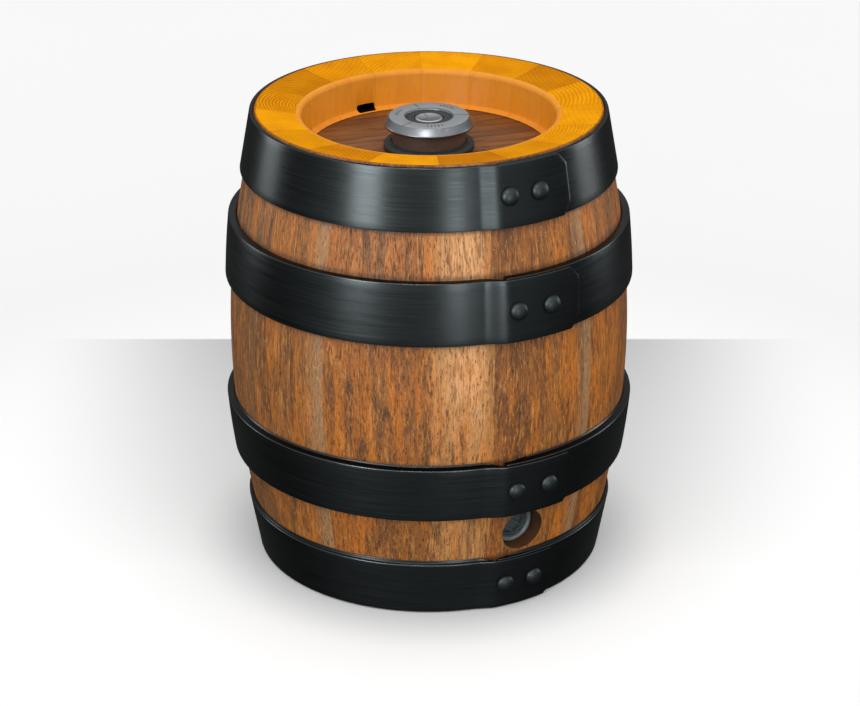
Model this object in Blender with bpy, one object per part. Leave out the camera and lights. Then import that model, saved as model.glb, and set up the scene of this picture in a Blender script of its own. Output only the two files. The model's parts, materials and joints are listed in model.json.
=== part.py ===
"""Wooden-jacketed beer keg: a stave barrel with four lapped hoops round a steel vessel.

Frame: metres, +Z up, origin at the centre of the base, the tap hole towards -Y.
"""

import math

import bmesh
import bpy
from mathutils import Matrix

# Driving dimensions, in metres.
HEIGHT = 0.346
BELLY_RADIUS = 0.1476
BELLY_CURVE = 0.82
STRAIGHT_FROM = 0.112
GAP = 0.0003

STAVES = 16
STAVE_STEPS = 3
STAVE_WIDTH = math.tau / STAVES
FIRST_SEAM = math.radians(3.3)
SEAM_GAP = math.radians(0.16)
JACKET_WALL = 0.018
OUTSIDE_POINTS = 8
CAVITY_POINTS = 7

RIM_INNER = 0.0953
RIM_SLOPE = 0.0042
RIM_EDGE = 0.0006
CHIME_WALL = 0.0913
LEDGE_RADIUS = 0.0868
LEDGE_DROP = 0.0014
LEDGE_NOSE = 0.0006
CROZE_RADIUS = 0.0923
SHOULDER_RADIUS = 0.0885
SHOULDER_DEPTH = 0.003
CORNER_RADIUS = 0.1130
CORNER_DEPTH = 0.009
FOOT_FLAT = 0.015

HEAD_THICKNESS = 0.014
TOP_HEAD_FACE = 0.314
BOTTOM_HEAD_FACE = 0.022
HEAD_RADIUS = CROZE_RADIUS - 2 * GAP
HEAD_BOARDS = 4
HEAD_TURN = math.radians(17)

# Each hoop: name, lower and upper edge, stand-off at each edge, tongue thickness, tongue end in
# degrees, and how far its shelf and its inner crest stand above the upper edge.
HOOPS = (
    ("top_chime_hoop", 0.301, 0.345, 0.0037, 0.0038, 0.0023, -44.7, 0.0, -0.0011),
    ("upper_bilge_hoop", 0.221, 0.267, 0.0050, 0.0070, 0.0034, -46.5, 0.0, -0.0011),
    ("lower_bilge_hoop", 0.084, 0.126, 0.0060, 0.0062, 0.0034, -47.5, 0.0010, 0.0024),
    ("bottom_chime_hoop", 0.001, 0.043, 0.0037, 0.0037, 0.0023, -47.5, 0.0009, 0.0033),
)
HOOP_GAP = 0.0004
HOOP_STEPS = STAVES * STAVE_STEPS
HOOP_CHAMFER = 0.0006
HOOP_LIP = 0.0009
TONGUE_TOP = (0.0, -0.0011)
JOGGLE_START = -74.0
JOGGLE_END = -69.5
UNDER_END = -68.5
TONGUE_CUT = 0.008
RIVET_ANGLES = (-66.0, -56.0)
RIVET_HEAD = 0.0068
RIVET_RISE = 0.0050
RIVET_SHANK = 0.0028

DRAIN_ANGLE = math.radians(121.2)
DRAIN_WIDTH = 0.0158
DRAIN_LOW = 0.3151
DRAIN_HIGH = 0.3203

VESSEL_BACK = 0.0264
VESSEL_WALL = 0.0016
VESSEL_FLOOR = 0.041
VESSEL_TOP = 0.296
VESSEL_SEAM = 0.170
VESSEL_FLAT = 0.060
VESSEL_BEND = 0.090
VESSEL_CORNER = 0.104
VESSEL_TAPER = 0.985
FOAM_FLOOR = 0.0368
FOAM_FIT = 0.0005

NECK_RADIUS = 0.0269
NECK_BORE = 0.0219
NECK_TOP = 0.3296
NECK_FOOT = 0.288
COLLAR_RADIUS = 0.0330
FLANGE_RADIUS = 0.0330
FLANGE_FLAT = 0.0290
FLANGE_TOP = 0.3381
FITTING_FOOT = 0.2940
VALVE_BORE = 0.0176
MOUTH_RADIUS = 0.0164
SEAL_RADIUS = 0.0161
CENTRE_RADIUS = 0.0105
GASKET_BORE = 0.0226
GASKET_RADIUS = 0.0258
GASKET_HEIGHT = 0.001
CARRIER_RADIUS = 0.0166
CARRIER_HEIGHT = 0.0035
SEAL_HEIGHT = 0.0034
TUBE_RADIUS = 0.0080
TUBE_WALL = 0.0010
TUBE_FOOT = 0.052
TUBE_LIP = 0.0150
TUBE_LIP_HEIGHT = 0.0021
WINDOW_HALF = 0.0030
VALVE_TRAVEL = 0.0060
SPRING_LOW = 0.3059
SPRING_HIGH = 0.3272
SPRING_RADIUS = 0.0130
SPRING_WIRE = 0.0009
SPRING_TURNS = 4
BRIDGE_LOW = 0.3000
BRIDGE_HIGH = 0.3030
BRIDGE_REACH = 0.0172
BRIDGE_HALF = 0.0022
SEAT_BORE = 0.0090
RING_BORE = 0.0160
RING_OPENING = math.radians(24)

TAP_ANGLE = math.radians(-60.5)
TAP_HEIGHT = 0.064
TAP_HOLE = 0.0166
TAP_FACE = 0.1240
TAP_FLANGE = 0.0163
TAP_FLANGE_HEIGHT = 0.0037
TAP_WASHER_HEIGHT = 0.0020
TAP_BODY = 0.0135
TAP_BORE = 0.0120
TAP_FOOT = 0.1040
PLUG_RADIUS = 0.0117
PLUG_DEPTH = 0.0120
PLUG_RIB_TURN = math.radians(-37)
PLUG_RIB_OFFSETS = (-0.0066, 0.0, 0.0066)
PLUG_RIB_HALF = 0.0011


def clear_scene():
    for obj in list(bpy.data.objects):
        bpy.data.objects.remove(obj, do_unlink=True)


def finish(name, colour, roughness, metallic=0.0):
    """A plain Principled material."""
    material = bpy.data.materials.new(name)
    material.use_nodes = True
    shader = material.node_tree.nodes["Principled BSDF"]
    shader.inputs["Base Color"].default_value = (*colour, 1.0)
    shader.inputs["Roughness"].default_value = roughness
    shader.inputs["Metallic"].default_value = metallic
    material.diffuse_color = (*colour, 1.0)
    return material


def oak(name, shade=1.0):
    return finish(name + "_oak", (0.30 * shade, 0.15 * shade, 0.06 * shade), 0.62)


def head_wood(name):
    return finish(name + "_oak", (0.16, 0.065, 0.025), 0.6)


def dark_steel(name):
    return finish(name + "_steel", (0.022, 0.026, 0.028), 0.36, 1.0)


def bright_steel(name):
    return finish(name + "_steel", (0.52, 0.53, 0.54), 0.3, 1.0)


def rubber(name):
    return finish(name + "_rubber", (0.018, 0.022, 0.024), 0.65)


def add_object(name, mesh_builder, material, parent=None):
    """Turns a bmesh into a named object with outward faces and smooth shading."""
    bmesh.ops.recalc_face_normals(mesh_builder, faces=mesh_builder.faces)
    mesh = bpy.data.meshes.new(name)
    mesh_builder.to_mesh(mesh)
    mesh_builder.free()
    mesh.shade_smooth()
    mesh.set_sharp_from_angle(angle=math.radians(30))
    mesh.materials.append(material)
    obj = bpy.data.objects.new(name, mesh)
    bpy.context.scene.collection.objects.link(obj)
    obj.parent = parent
    return obj


def cut(obj, cutter):
    """Takes the cutter's volume out of the object."""
    cutter.hide_render = True
    cutter.display_type = "WIRE"
    boolean = obj.modifiers.new("cut", "BOOLEAN")
    boolean.operation = "DIFFERENCE"
    boolean.object = cutter


def lofted(sections, closed=False):
    """A skin over a row of equal sections, capped at both ends unless it closes on itself."""
    mesh = bmesh.new()
    rings = [[mesh.verts.new(point) for point in section] for section in sections]
    pairs = list(zip(rings, rings[1:]))
    if closed:
        pairs.append((rings[-1], rings[0]))
    for ring, following in pairs:
        for i in range(len(ring)):
            j = (i + 1) % len(ring)
            mesh.faces.new((ring[i], ring[j], following[j], following[i]))
    if not closed:
        mesh.faces.new(rings[0])
        mesh.faces.new(reversed(rings[-1]))
    return mesh


def around(outline, angle):
    """The (radius, height) outline in the upright plane at this angle."""
    return [(r * math.cos(angle), r * math.sin(angle), z) for r, z in outline]


def ring_mesh(outline, steps=32):
    """A closed (radius, height) outline turned a full circle about Z."""
    return lofted([around(outline, math.tau * k / steps) for k in range(steps)], closed=True)


def disc_mesh(outline, steps=32):
    """An outline that starts and ends on the Z axis, turned a full circle."""
    mesh = bmesh.new()
    rings = []
    for radius, height in outline:
        if radius == 0:
            rings.append([mesh.verts.new((0, 0, height))] * steps)
            continue
        turn = [math.tau * k / steps for k in range(steps)]
        rings.append([mesh.verts.new((radius * math.cos(a), radius * math.sin(a), height)) for a in turn])
    for ring, following in zip(rings, rings[1:]):
        for i in range(steps):
            j = (i + 1) % steps
            corners = dict.fromkeys((ring[i], ring[j], following[j], following[i]))
            mesh.faces.new(tuple(corners))
    return mesh


def prism_mesh(outline, low, high):
    """A flat (x, y) outline raised from one height to another."""
    return lofted([[(x, y, low) for x, y in outline], [(x, y, high) for x, y in outline]])


def wood_radius(height):
    """Outer radius of the staves: a parabola in the belly and straight towards both ends."""
    from_middle = abs(height - HEIGHT / 2)
    curved = min(from_middle, STRAIGHT_FROM)
    straight = from_middle - curved
    return BELLY_RADIUS - BELLY_CURVE * curved**2 - 2 * BELLY_CURVE * STRAIGHT_FROM * straight


def belly_heights(count):
    """Evenly spread heights through the curved part of the staves, going up."""
    low = HEIGHT / 2 - STRAIGHT_FROM
    return [low + 2 * STRAIGHT_FROM * k / (count - 1) for k in range(count)]


def cavity_outline(back):
    """The inside of the jacket, from bottom to top, at this distance behind the outer face."""
    return [(wood_radius(z) - back, z) for z in belly_heights(CAVITY_POINTS)]


def stave_outline():
    """Outline of a stave in its upright plane, from the foot up the outside and back down."""
    outside = [(wood_radius(z), z) for z in [RIM_EDGE] + belly_heights(OUTSIDE_POINTS) + [HEIGHT - RIM_EDGE]]
    top = TOP_HEAD_FACE
    upper = [
        (wood_radius(HEIGHT) - RIM_EDGE, HEIGHT),
        (RIM_INNER, HEIGHT - RIM_SLOPE),
        (RIM_INNER - 0.0018, HEIGHT - RIM_SLOPE - 0.0014),
        (RIM_INNER - 0.0024, HEIGHT - RIM_SLOPE - 0.0034),
        (CHIME_WALL, top + GAP + LEDGE_NOSE + LEDGE_DROP),
        (LEDGE_RADIUS, top + GAP + LEDGE_NOSE),
        (LEDGE_RADIUS, top + GAP),
        (CROZE_RADIUS, top + GAP),
        (CROZE_RADIUS, top - HEAD_THICKNESS - GAP),
        (SHOULDER_RADIUS, top - HEAD_THICKNESS - GAP),
        (SHOULDER_RADIUS, top - HEAD_THICKNESS - SHOULDER_DEPTH),
        (CORNER_RADIUS, top - HEAD_THICKNESS - CORNER_DEPTH),
    ]
    inside = list(reversed(cavity_outline(JACKET_WALL)))
    foot = BOTTOM_HEAD_FACE
    lower = [
        (CORNER_RADIUS, foot + HEAD_THICKNESS + CORNER_DEPTH),
        (SHOULDER_RADIUS, foot + HEAD_THICKNESS + SHOULDER_DEPTH),
        (SHOULDER_RADIUS, foot + HEAD_THICKNESS + GAP),
        (CROZE_RADIUS, foot + HEAD_THICKNESS + GAP),
        (CROZE_RADIUS, foot - GAP),
        (LEDGE_RADIUS, foot - GAP),
        (LEDGE_RADIUS, foot - GAP - LEDGE_NOSE),
        (CHIME_WALL, foot - GAP - LEDGE_NOSE - LEDGE_DROP),
        (RIM_INNER - 0.0024, 0.0050),
        (RIM_INNER, 0.0024),
        (wood_radius(0) - FOOT_FLAT, 0.0),
        (wood_radius(0) - RIM_EDGE, 0.0),
    ]
    return outside + upper + inside + lower


def stave_shade(number):
    """A tone for each stave that differs from its neighbours', 0.85 to 1.15."""
    return 0.85 + 0.3 * (number * 7 % STAVES) / (STAVES - 1)


def reaches(angle, half_width, start):
    """Whether a cut of this half width, in metres at the well's wall, touches the stave that starts here."""
    off = (angle - start - STAVE_WIDTH / 2 + math.pi) % math.tau - math.pi
    return abs(off) < STAVE_WIDTH / 2 + half_width / CHIME_WALL


def staves(tap_hole, drain_slot):
    """The sixteen staves; the tap hole crosses two of them and the drain slot one."""
    outline = stave_outline()
    for number in range(STAVES):
        start = FIRST_SEAM + number * STAVE_WIDTH + SEAM_GAP / 2
        step = (STAVE_WIDTH - SEAM_GAP) / STAVE_STEPS
        name = f"stave_{number + 1:02d}"
        mesh = lofted([around(outline, start + step * k) for k in range(STAVE_STEPS + 1)])
        stave = add_object(name, mesh, oak(name, stave_shade(number)))
        if reaches(TAP_ANGLE, TAP_HOLE, start):
            cut(stave, tap_hole)
        if reaches(DRAIN_ANGLE, DRAIN_WIDTH / 2, start):
            cut(stave, drain_slot)


def hoop_section(angle, low, high, inner, outer, top):
    """A hoop's section: inner and outer give the distance outside the wood at low and high, and
    top the heights of its shelf and crest above high."""

    def at(offsets, height):
        share = (height - low) / (high - low)
        return wood_radius(height) + offsets[0] + (offsets[1] - offsets[0]) * share

    middle = (low + high) / 2
    chamfer = HOOP_CHAMFER
    shelf, crest = high + top[0], high + top[1]
    outline = [
        (at(inner, low), low),
        (at(outer, low) - chamfer, low),
        (at(outer, low + chamfer), low + chamfer),
        (at(outer, high - chamfer), high - chamfer),
        (at(outer, high) - chamfer, high),
        (at(inner, shelf) + HOOP_LIP, shelf),
        (at(inner, crest), crest),
        (at(inner, middle), middle),
    ]
    return around(outline, math.radians(angle))


def hoop(name, low, high, stand_low, stand_high, tongue, tongue_end, shelf, crest, drain_slot):
    """A lapped hoop: its end steps outwards over the start and is riveted to it."""
    top = (shelf, crest)
    band = (stand_low, stand_high)
    lap_inner = (stand_low + GAP, stand_high + GAP)
    lap_outer = (lap_inner[0] + tongue, lap_inner[1] + tongue)
    against = (HOOP_GAP, HOOP_GAP)
    seam = math.degrees(FIRST_SEAM)
    step = 360 / HOOP_STEPS
    stations = [seam + step * k for k in range(-HOOP_STEPS, HOOP_STEPS)]
    sections = [hoop_section(UNDER_END, low, high, against, band, top)]
    for angle in stations:
        if UNDER_END + 1 < angle < 360 + JOGGLE_START - 1:
            sections.append(hoop_section(angle, low, high, against, band, top))
    sections.append(hoop_section(360 + JOGGLE_START, low, high, against, band, top))
    sections.append(hoop_section(360 + JOGGLE_END, low, high, lap_inner, lap_outer, TONGUE_TOP))
    cut_angle = math.degrees(TONGUE_CUT * 0.85 / (wood_radius((low + high) / 2)))
    for angle in stations:
        if 360 + JOGGLE_END + 1 < angle < 360 + tongue_end - cut_angle - 0.5:
            sections.append(hoop_section(angle, low, high, lap_inner, lap_outer, TONGUE_TOP))
    sections.append(hoop_section(360 + tongue_end - cut_angle, low, high, lap_inner, lap_outer, TONGUE_TOP))
    ends = (low + TONGUE_CUT, high - TONGUE_CUT)
    sections.append(hoop_section(360 + tongue_end, *ends, lap_inner, lap_outer, TONGUE_TOP))
    obj = add_object(name, lofted(sections), dark_steel(name))
    if low < DRAIN_LOW < high:
        cut(obj, drain_slot)
    for number, angle in enumerate(RIVET_ANGLES, 1):
        rivet(obj, f"{name}_rivet_{number}", angle, low, high, lap_outer)


def rivet(hoop_object, name, angle, low, high, lap_outer):
    """A domed rivet square to the hoop's face, and the hole for its shank."""
    middle = (low + high) / 2
    slope = (wood_radius(high) + lap_outer[1] - wood_radius(low) - lap_outer[0]) / (high - low)
    surface = wood_radius(middle) + (lap_outer[0] + lap_outer[1]) / 2
    turn = Matrix.Rotation(math.radians(angle), 4, "Z")
    tilt = Matrix.Rotation(math.pi / 2 + math.atan(slope), 4, "Y")
    place = turn @ Matrix.Translation((surface, 0, middle)) @ tilt
    depth = (lap_outer[0] + lap_outer[1]) / 2 - HOOP_GAP - GAP
    dome = [(0.0, GAP + RIVET_RISE)]
    for k in range(1, 5):
        swing = math.pi / 2 * k / 4
        dome.append((RIVET_HEAD * math.sin(swing), GAP + RIVET_RISE * math.cos(swing)))
    outline = dome + [(RIVET_SHANK, GAP), (RIVET_SHANK, -depth), (0.0, -depth)]
    head = add_object(name, disc_mesh(outline, 12), dark_steel(name))
    head.matrix_world = place
    reach = RIVET_SHANK + GAP
    hole = [(0.0, 0.004), (reach, 0.004), (reach, -depth - 0.004), (0.0, -depth - 0.004)]
    cutter = add_object(name + "_hole", disc_mesh(hole, 12), dark_steel(name + "_hole"))
    cutter.matrix_world = place
    cut(hoop_object, cutter)


def rounded_slot(width, height, radius, corner_steps=3):
    """A rectangle with rounded corners, centred on the origin."""
    points = []
    for quarter in range(4):
        corner_x = (width / 2 - radius) * (1 if quarter in (0, 3) else -1)
        corner_y = (height / 2 - radius) * (1 if quarter in (0, 1) else -1)
        for k in range(corner_steps + 1):
            swing = math.pi / 2 * (quarter + k / corner_steps)
            points.append((corner_x + radius * math.cos(swing), corner_y + radius * math.sin(swing)))
    return points


def drain_cutter():
    """The slot that lets water out of the well, through one stave and the top hoop."""
    mesh = prism_mesh(rounded_slot(DRAIN_HIGH - DRAIN_LOW, DRAIN_WIDTH, 0.0014), 0.080, 0.150)
    cutter = add_object("drain_slot", mesh, oak("drain_slot"))
    turn = Matrix.Rotation(DRAIN_ANGLE, 4, "Z") @ Matrix.Rotation(math.pi / 2, 4, "Y")
    cutter.matrix_world = Matrix.Translation((0, 0, (DRAIN_LOW + DRAIN_HIGH) / 2)) @ turn
    return cutter


def tap_axis():
    """An empty on the tap's axis: its Z points outwards and is zero on the keg's axis."""
    empty = bpy.data.objects.new("tap_axis", None)
    bpy.context.scene.collection.objects.link(empty)
    turn = Matrix.Rotation(TAP_ANGLE, 4, "Z") @ Matrix.Rotation(math.pi / 2, 4, "Y")
    empty.matrix_world = Matrix.Translation((0, 0, TAP_HEIGHT)) @ turn
    return empty


def tap_cutter(name, radius, start, end, parent):
    """A round cutter along the tap's axis."""
    outline = [(0.0, end), (radius, end), (radius, start), (0.0, start)]
    return add_object(name, disc_mesh(outline, 32), oak(name), parent)


def head_board(name, low_side, high_side, low, high, hole):
    """One board of a head: a slice of the disc, with its share of the neck hole."""
    reach = HEAD_RADIUS
    low_edge = low_side + GAP / 2
    high_edge = high_side - GAP / 2
    if low_side <= -reach:
        low_edge = -reach * math.cos(math.radians(7))
    if high_side >= reach:
        high_edge = reach * math.cos(math.radians(7))
    start = math.asin(low_edge / reach)
    end = math.asin(high_edge / reach)
    steps = 7
    right = [start + (end - start) * k / steps for k in range(steps + 1)]
    outline = [(reach * math.cos(a), reach * math.sin(a)) for a in right]
    outline += half_hole(high_edge, hole, 1) if high_side == 0 else []
    outline += [(-reach * math.cos(a), reach * math.sin(a)) for a in reversed(right)]
    outline += half_hole(low_edge, hole, -1) if low_side == 0 else []
    turned = [
        (x * math.cos(HEAD_TURN) - y * math.sin(HEAD_TURN), x * math.sin(HEAD_TURN) + y * math.cos(HEAD_TURN))
        for x, y in outline
    ]
    add_object(name, prism_mesh(turned, low, high), head_wood(name))


def half_hole(edge, radius, side):
    """Points of the half circle bitten out of a board's edge, walking along the outline."""
    if radius == 0:
        return []
    first = math.asin(abs(edge) / radius)
    steps = 12
    points = []
    for k in range(steps + 1):
        swing = first + (math.pi - 2 * first) * k / steps
        points.append((side * radius * math.cos(swing), -side * radius * math.sin(swing)))
    return points


def heads():
    """The top head, bored for the neck, and the plain bottom head."""
    width = 2 * HEAD_RADIUS / HEAD_BOARDS
    for number in range(HEAD_BOARDS):
        low_side = -HEAD_RADIUS + width * number
        high_side = low_side + width
        if number == HEAD_BOARDS // 2:
            low_side = 0
        if number == HEAD_BOARDS // 2 - 1:
            high_side = 0
        face = TOP_HEAD_FACE
        low = face - HEAD_THICKNESS
        head_board(f"head_board_{number + 1}", low_side, high_side, low, face, NECK_RADIUS + 0.0005)
        face = BOTTOM_HEAD_FACE
        base = face + HEAD_THICKNESS
        head_board(f"base_board_{number + 1}", low_side, high_side, face, base, 0)


def vessel_wall(heights, back):
    return [(wood_radius(z) - back, z) for z in heights]


def vessel_shells(tap_hole):
    """The stainless vessel: two drawn shells that meet at a welded girth seam."""
    thin = VESSEL_WALL
    low = [0.060, 0.096, 0.133, VESSEL_SEAM - GAP / 2]
    outer = vessel_wall(low, VESSEL_BACK)
    inner = vessel_wall(list(reversed(low)), VESSEL_BACK + thin)
    floor = VESSEL_FLOOR
    lower = [(0.0, floor + 0.002), (VESSEL_FLAT, floor), (VESSEL_BEND, floor), (VESSEL_CORNER, floor + 0.006)]
    inside = [(r * VESSEL_TAPER, z + thin) for r, z in reversed(lower)]
    shell = disc_mesh(lower + outer + inner + inside, 24)
    cut(add_object("vessel_lower_shell", shell, bright_steel("vessel_lower_shell")), tap_hole)
    high = [VESSEL_SEAM + GAP / 2, 0.205, 0.240, 0.272]
    top = VESSEL_TOP
    hole = NECK_RADIUS + GAP
    outer = vessel_wall(high, VESSEL_BACK)
    dome = [(VESSEL_CORNER, top - 0.008), (0.086, top - 0.001), (0.050, top), (hole, top)]
    inside = [(r * VESSEL_TAPER if r > hole else r, z - thin) for r, z in reversed(dome)]
    inner = vessel_wall(list(reversed(high)), VESSEL_BACK + thin)
    shell = ring_mesh(outer + dome + inside + inner, 24)
    add_object("vessel_upper_shell", shell, bright_steel("vessel_upper_shell"))


def foam_jacket(tap_hole):
    """The foamed cup between the vessel and the staves."""
    outer = cavity_outline(JACKET_WALL + FOAM_FIT)
    inner = list(reversed(cavity_outline(VESSEL_BACK - FOAM_FIT)))
    floor = FOAM_FLOOR
    edge = SHOULDER_RADIUS - 0.0007
    corner = BOTTOM_HEAD_FACE + HEAD_THICKNESS + CORNER_DEPTH + 0.0006
    low = [(0.0, floor), (edge, floor), (edge, floor + 0.0028), (CORNER_RADIUS - 0.0008, corner)]
    seat = [(VESSEL_CORNER + 0.0007, floor + 0.0099), (VESSEL_BEND + GAP, floor + 0.0036)]
    seat.append((0.0, floor + 0.0036))
    mesh = disc_mesh(low + outer + inner + seat, 24)
    cut(add_object("foam_jacket", mesh, finish("foam", (0.62, 0.50, 0.28), 0.9)), tap_hole)


def neck_parts():
    """The socket welded into the vessel, the rubber collar round it and the gasket on top."""
    radius = NECK_RADIUS
    socket = [
        (radius - 0.0006, NECK_TOP),
        (radius, NECK_TOP - 0.0006),
        (radius, NECK_FOOT),
        (NECK_BORE, NECK_FOOT),
        (NECK_BORE, NECK_TOP),
    ]
    add_object("neck_socket", ring_mesh(socket, 28), bright_steel("neck_socket"))
    base = TOP_HEAD_FACE + GAP
    collar = [
        (radius + GAP, base),
        (COLLAR_RADIUS, base),
        (COLLAR_RADIUS, base + 0.0032),
        (COLLAR_RADIUS - 0.0016, base + 0.0048),
        (radius + GAP, base + 0.0058),
    ]
    add_object("neck_collar", ring_mesh(collar, 28), rubber("neck_collar"))
    low = NECK_TOP + 0.0002
    high = low + GASKET_HEIGHT
    gasket = [(GASKET_BORE, low), (GASKET_RADIUS, low), (GASKET_RADIUS, high), (GASKET_BORE, high)]
    add_object("neck_gasket", ring_mesh(gasket, 24), rubber("neck_gasket"))


def fitting_body():
    """The flat-topped fitting: a bevelled flange over a body that screws into the neck."""
    top = FLANGE_TOP
    under = NECK_TOP + 0.0015
    outline = [
        (MOUTH_RADIUS + 0.0016, top),
        (FLANGE_FLAT, top),
        (FLANGE_RADIUS - 0.0005, top - 0.0044),
        (FLANGE_RADIUS, top - 0.0052),
        (FLANGE_RADIUS - 0.0002, top - 0.0062),
        (FLANGE_RADIUS - 0.0008, under),
        (NECK_BORE - GAP, under),
        (NECK_BORE - GAP, FITTING_FOOT),
        (VALVE_BORE, FITTING_FOOT),
        (VALVE_BORE, BRIDGE_LOW - 0.0022),
        (VALVE_BORE + 0.0012, BRIDGE_LOW - 0.0022),
        (VALVE_BORE + 0.0012, BRIDGE_LOW - GAP / 2),
        (VALVE_BORE, BRIDGE_LOW - GAP / 2),
        (VALVE_BORE, top - 0.0017),
        (MOUTH_RADIUS, top - 0.0017),
        (MOUTH_RADIUS, top - 0.0010),
    ]
    add_object("fitting_body", ring_mesh(outline, 28), bright_steel("fitting_body"))


def retaining_ring():
    """The split ring that holds the bridge in the fitting body."""
    low = BRIDGE_LOW - 0.0019
    high = BRIDGE_LOW - GAP - 0.0002
    outline = [(RING_BORE, low), (VALVE_BORE + 0.0009, low), (VALVE_BORE + 0.0009, high), (RING_BORE, high)]
    turn = [RING_OPENING / 2 + (math.tau - RING_OPENING) * k / 24 for k in range(25)]
    add_object("retaining_ring", lofted([around(outline, a) for a in turn]), bright_steel("retaining_ring"))


def centre_disc():
    """The fixed valve disc, its post and the bridge that carries it."""
    top = FLANGE_TOP - 0.0011
    outline = [
        (0.0, top),
        (CENTRE_RADIUS - 0.0008, top),
        (CENTRE_RADIUS, top - 0.0008),
        (CENTRE_RADIUS, top - 0.0030),
        (0.0050, top - 0.0050),
        (0.0025, top - 0.0060),
        (0.0025, BRIDGE_LOW),
        (0.0, BRIDGE_LOW),
    ]
    disc = add_object("centre_disc", disc_mesh(outline, 24), bright_steel("centre_disc"))
    reach, half = BRIDGE_REACH, BRIDGE_HALF
    bar = [(-reach, -half), (reach, -half), (reach, half), (-reach, half)]
    bridge = add_object("bridge_bar", prism_mesh(bar, BRIDGE_LOW, BRIDGE_HIGH), bright_steel("bridge_bar"))
    bridge.hide_render = True
    bridge.display_type = "WIRE"
    union = disc.modifiers.new("bridge", "BOOLEAN")
    union.operation = "UNION"
    union.object = bridge


def valve_parts():
    """What moves when a coupler is fitted: the seal, its carrier and the down tube."""
    top = FLANGE_TOP - 0.0012
    bore = CENTRE_RADIUS + GAP
    shoulder = FLANGE_TOP - 0.0017 - GAP
    seal = [
        (bore, top),
        (SEAL_RADIUS, top),
        (SEAL_RADIUS, shoulder),
        (VALVE_BORE - 0.0004, shoulder),
        (VALVE_BORE - 0.0004, top - SEAL_HEIGHT),
        (bore, top - SEAL_HEIGHT),
    ]
    add_object("valve_seal", ring_mesh(seal, 24), rubber("valve_seal"))
    high = top - SEAL_HEIGHT - GAP
    low = high - CARRIER_HEIGHT
    carrier = [(bore, low), (bore, high), (CARRIER_RADIUS, high), (CARRIER_RADIUS, low)]
    add_object("valve_carrier", ring_mesh(carrier, 24), bright_steel("valve_carrier"))
    lip = low - GAP
    tube = [
        (TUBE_RADIUS - TUBE_WALL, TUBE_FOOT),
        (TUBE_RADIUS, TUBE_FOOT),
        (TUBE_RADIUS, lip - TUBE_LIP_HEIGHT),
        (TUBE_LIP, lip - TUBE_LIP_HEIGHT),
        (TUBE_LIP, lip),
        (TUBE_RADIUS - TUBE_WALL, lip),
    ]
    down_tube = add_object("down_tube", ring_mesh(tube, 20), bright_steel("down_tube"))
    reach, half = TUBE_RADIUS + 0.004, WINDOW_HALF
    window = [(-reach, -half), (reach, -half), (reach, half), (-reach, half)]
    mesh = prism_mesh(window, BRIDGE_LOW - 2 * GAP, BRIDGE_HIGH + VALVE_TRAVEL + 4 * GAP)
    cut(down_tube, add_object("tube_window", mesh, bright_steel("tube_window")))


def spring_seat():
    """The washer under the spring, resting on the bridge."""
    low = BRIDGE_HIGH + GAP
    high = SPRING_LOW - GAP
    outline = [(SEAT_BORE, low), (BRIDGE_REACH, low), (BRIDGE_REACH, high), (SEAT_BORE, high)]
    add_object("spring_seat", ring_mesh(outline, 20), bright_steel("spring_seat"))


def valve_spring():
    """A closed-end helix of round wire."""
    per_turn = 12
    sides = 5
    wire = SPRING_WIRE
    rise = SPRING_HIGH - SPRING_LOW - 2 * wire
    sections = []
    for k in range(SPRING_TURNS * per_turn + 1):
        angle = math.tau * k / per_turn
        height = SPRING_LOW + wire + rise * k / (SPRING_TURNS * per_turn)
        section = []
        for side in range(sides):
            swing = math.tau * side / sides
            section.append((SPRING_RADIUS + wire * math.cos(swing), height + wire * math.sin(swing)))
        sections.append(around(section, angle))
    add_object("valve_spring", lofted(sections), bright_steel("valve_spring"))


def tap_parts(axis):
    """The bush welded into the vessel's side, its washer and the plug that a tap drives in."""
    face = TAP_FACE
    back = face - TAP_FLANGE_HEIGHT
    bush = [
        (TAP_BORE, face - 0.0020),
        (TAP_BORE + 0.0012, face - 0.0004),
        (TAP_BORE + 0.0024, face),
        (TAP_FLANGE - 0.0010, face),
        (TAP_FLANGE, face - 0.0010),
        (TAP_FLANGE, back),
        (TAP_BODY, back),
        (TAP_BODY, TAP_FOOT),
        (TAP_BORE, TAP_FOOT),
    ]
    add_object("tap_bush", ring_mesh(bush, 24), bright_steel("tap_bush"), axis)
    high = back - GAP
    low = high - TAP_WASHER_HEIGHT
    bore = TAP_BODY + GAP
    washer = [(bore, low), (TAP_FLANGE, low), (TAP_FLANGE, high), (bore, high)]
    add_object("tap_washer", ring_mesh(washer, 24), rubber("tap_washer"), axis)
    rim = face - 0.0022
    plug = [
        (0.0, rim - 0.0030),
        (PLUG_RADIUS - 0.0022, rim - 0.0030),
        (PLUG_RADIUS - 0.0014, rim),
        (PLUG_RADIUS - 0.0003, rim),
        (PLUG_RADIUS, rim - 0.0005),
        (PLUG_RADIUS, rim - PLUG_DEPTH),
        (0.0, rim - PLUG_DEPTH),
    ]
    plug_object = add_object("tap_plug", disc_mesh(plug, 24), bright_steel("tap_plug"), axis)
    for number, offset in enumerate(PLUG_RIB_OFFSETS, 1):
        half = math.sqrt((PLUG_RADIUS - 0.0012) ** 2 - offset**2)
        near, far = offset - PLUG_RIB_HALF, offset + PLUG_RIB_HALF
        corners = [(-half, near), (half, near), (half, far), (-half, far)]
        mesh = prism_mesh(corners, rim - 0.0040, rim - 0.0014)
        rib = add_object(f"plug_rib_{number}", mesh, bright_steel(f"plug_rib_{number}"), axis)
        rib.rotation_euler.z = PLUG_RIB_TURN + math.pi / 2
        rib.hide_render = True
        rib.display_type = "WIRE"
        union = plug_object.modifiers.new("rib", "BOOLEAN")
        union.operation = "UNION"
        union.object = rib


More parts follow.
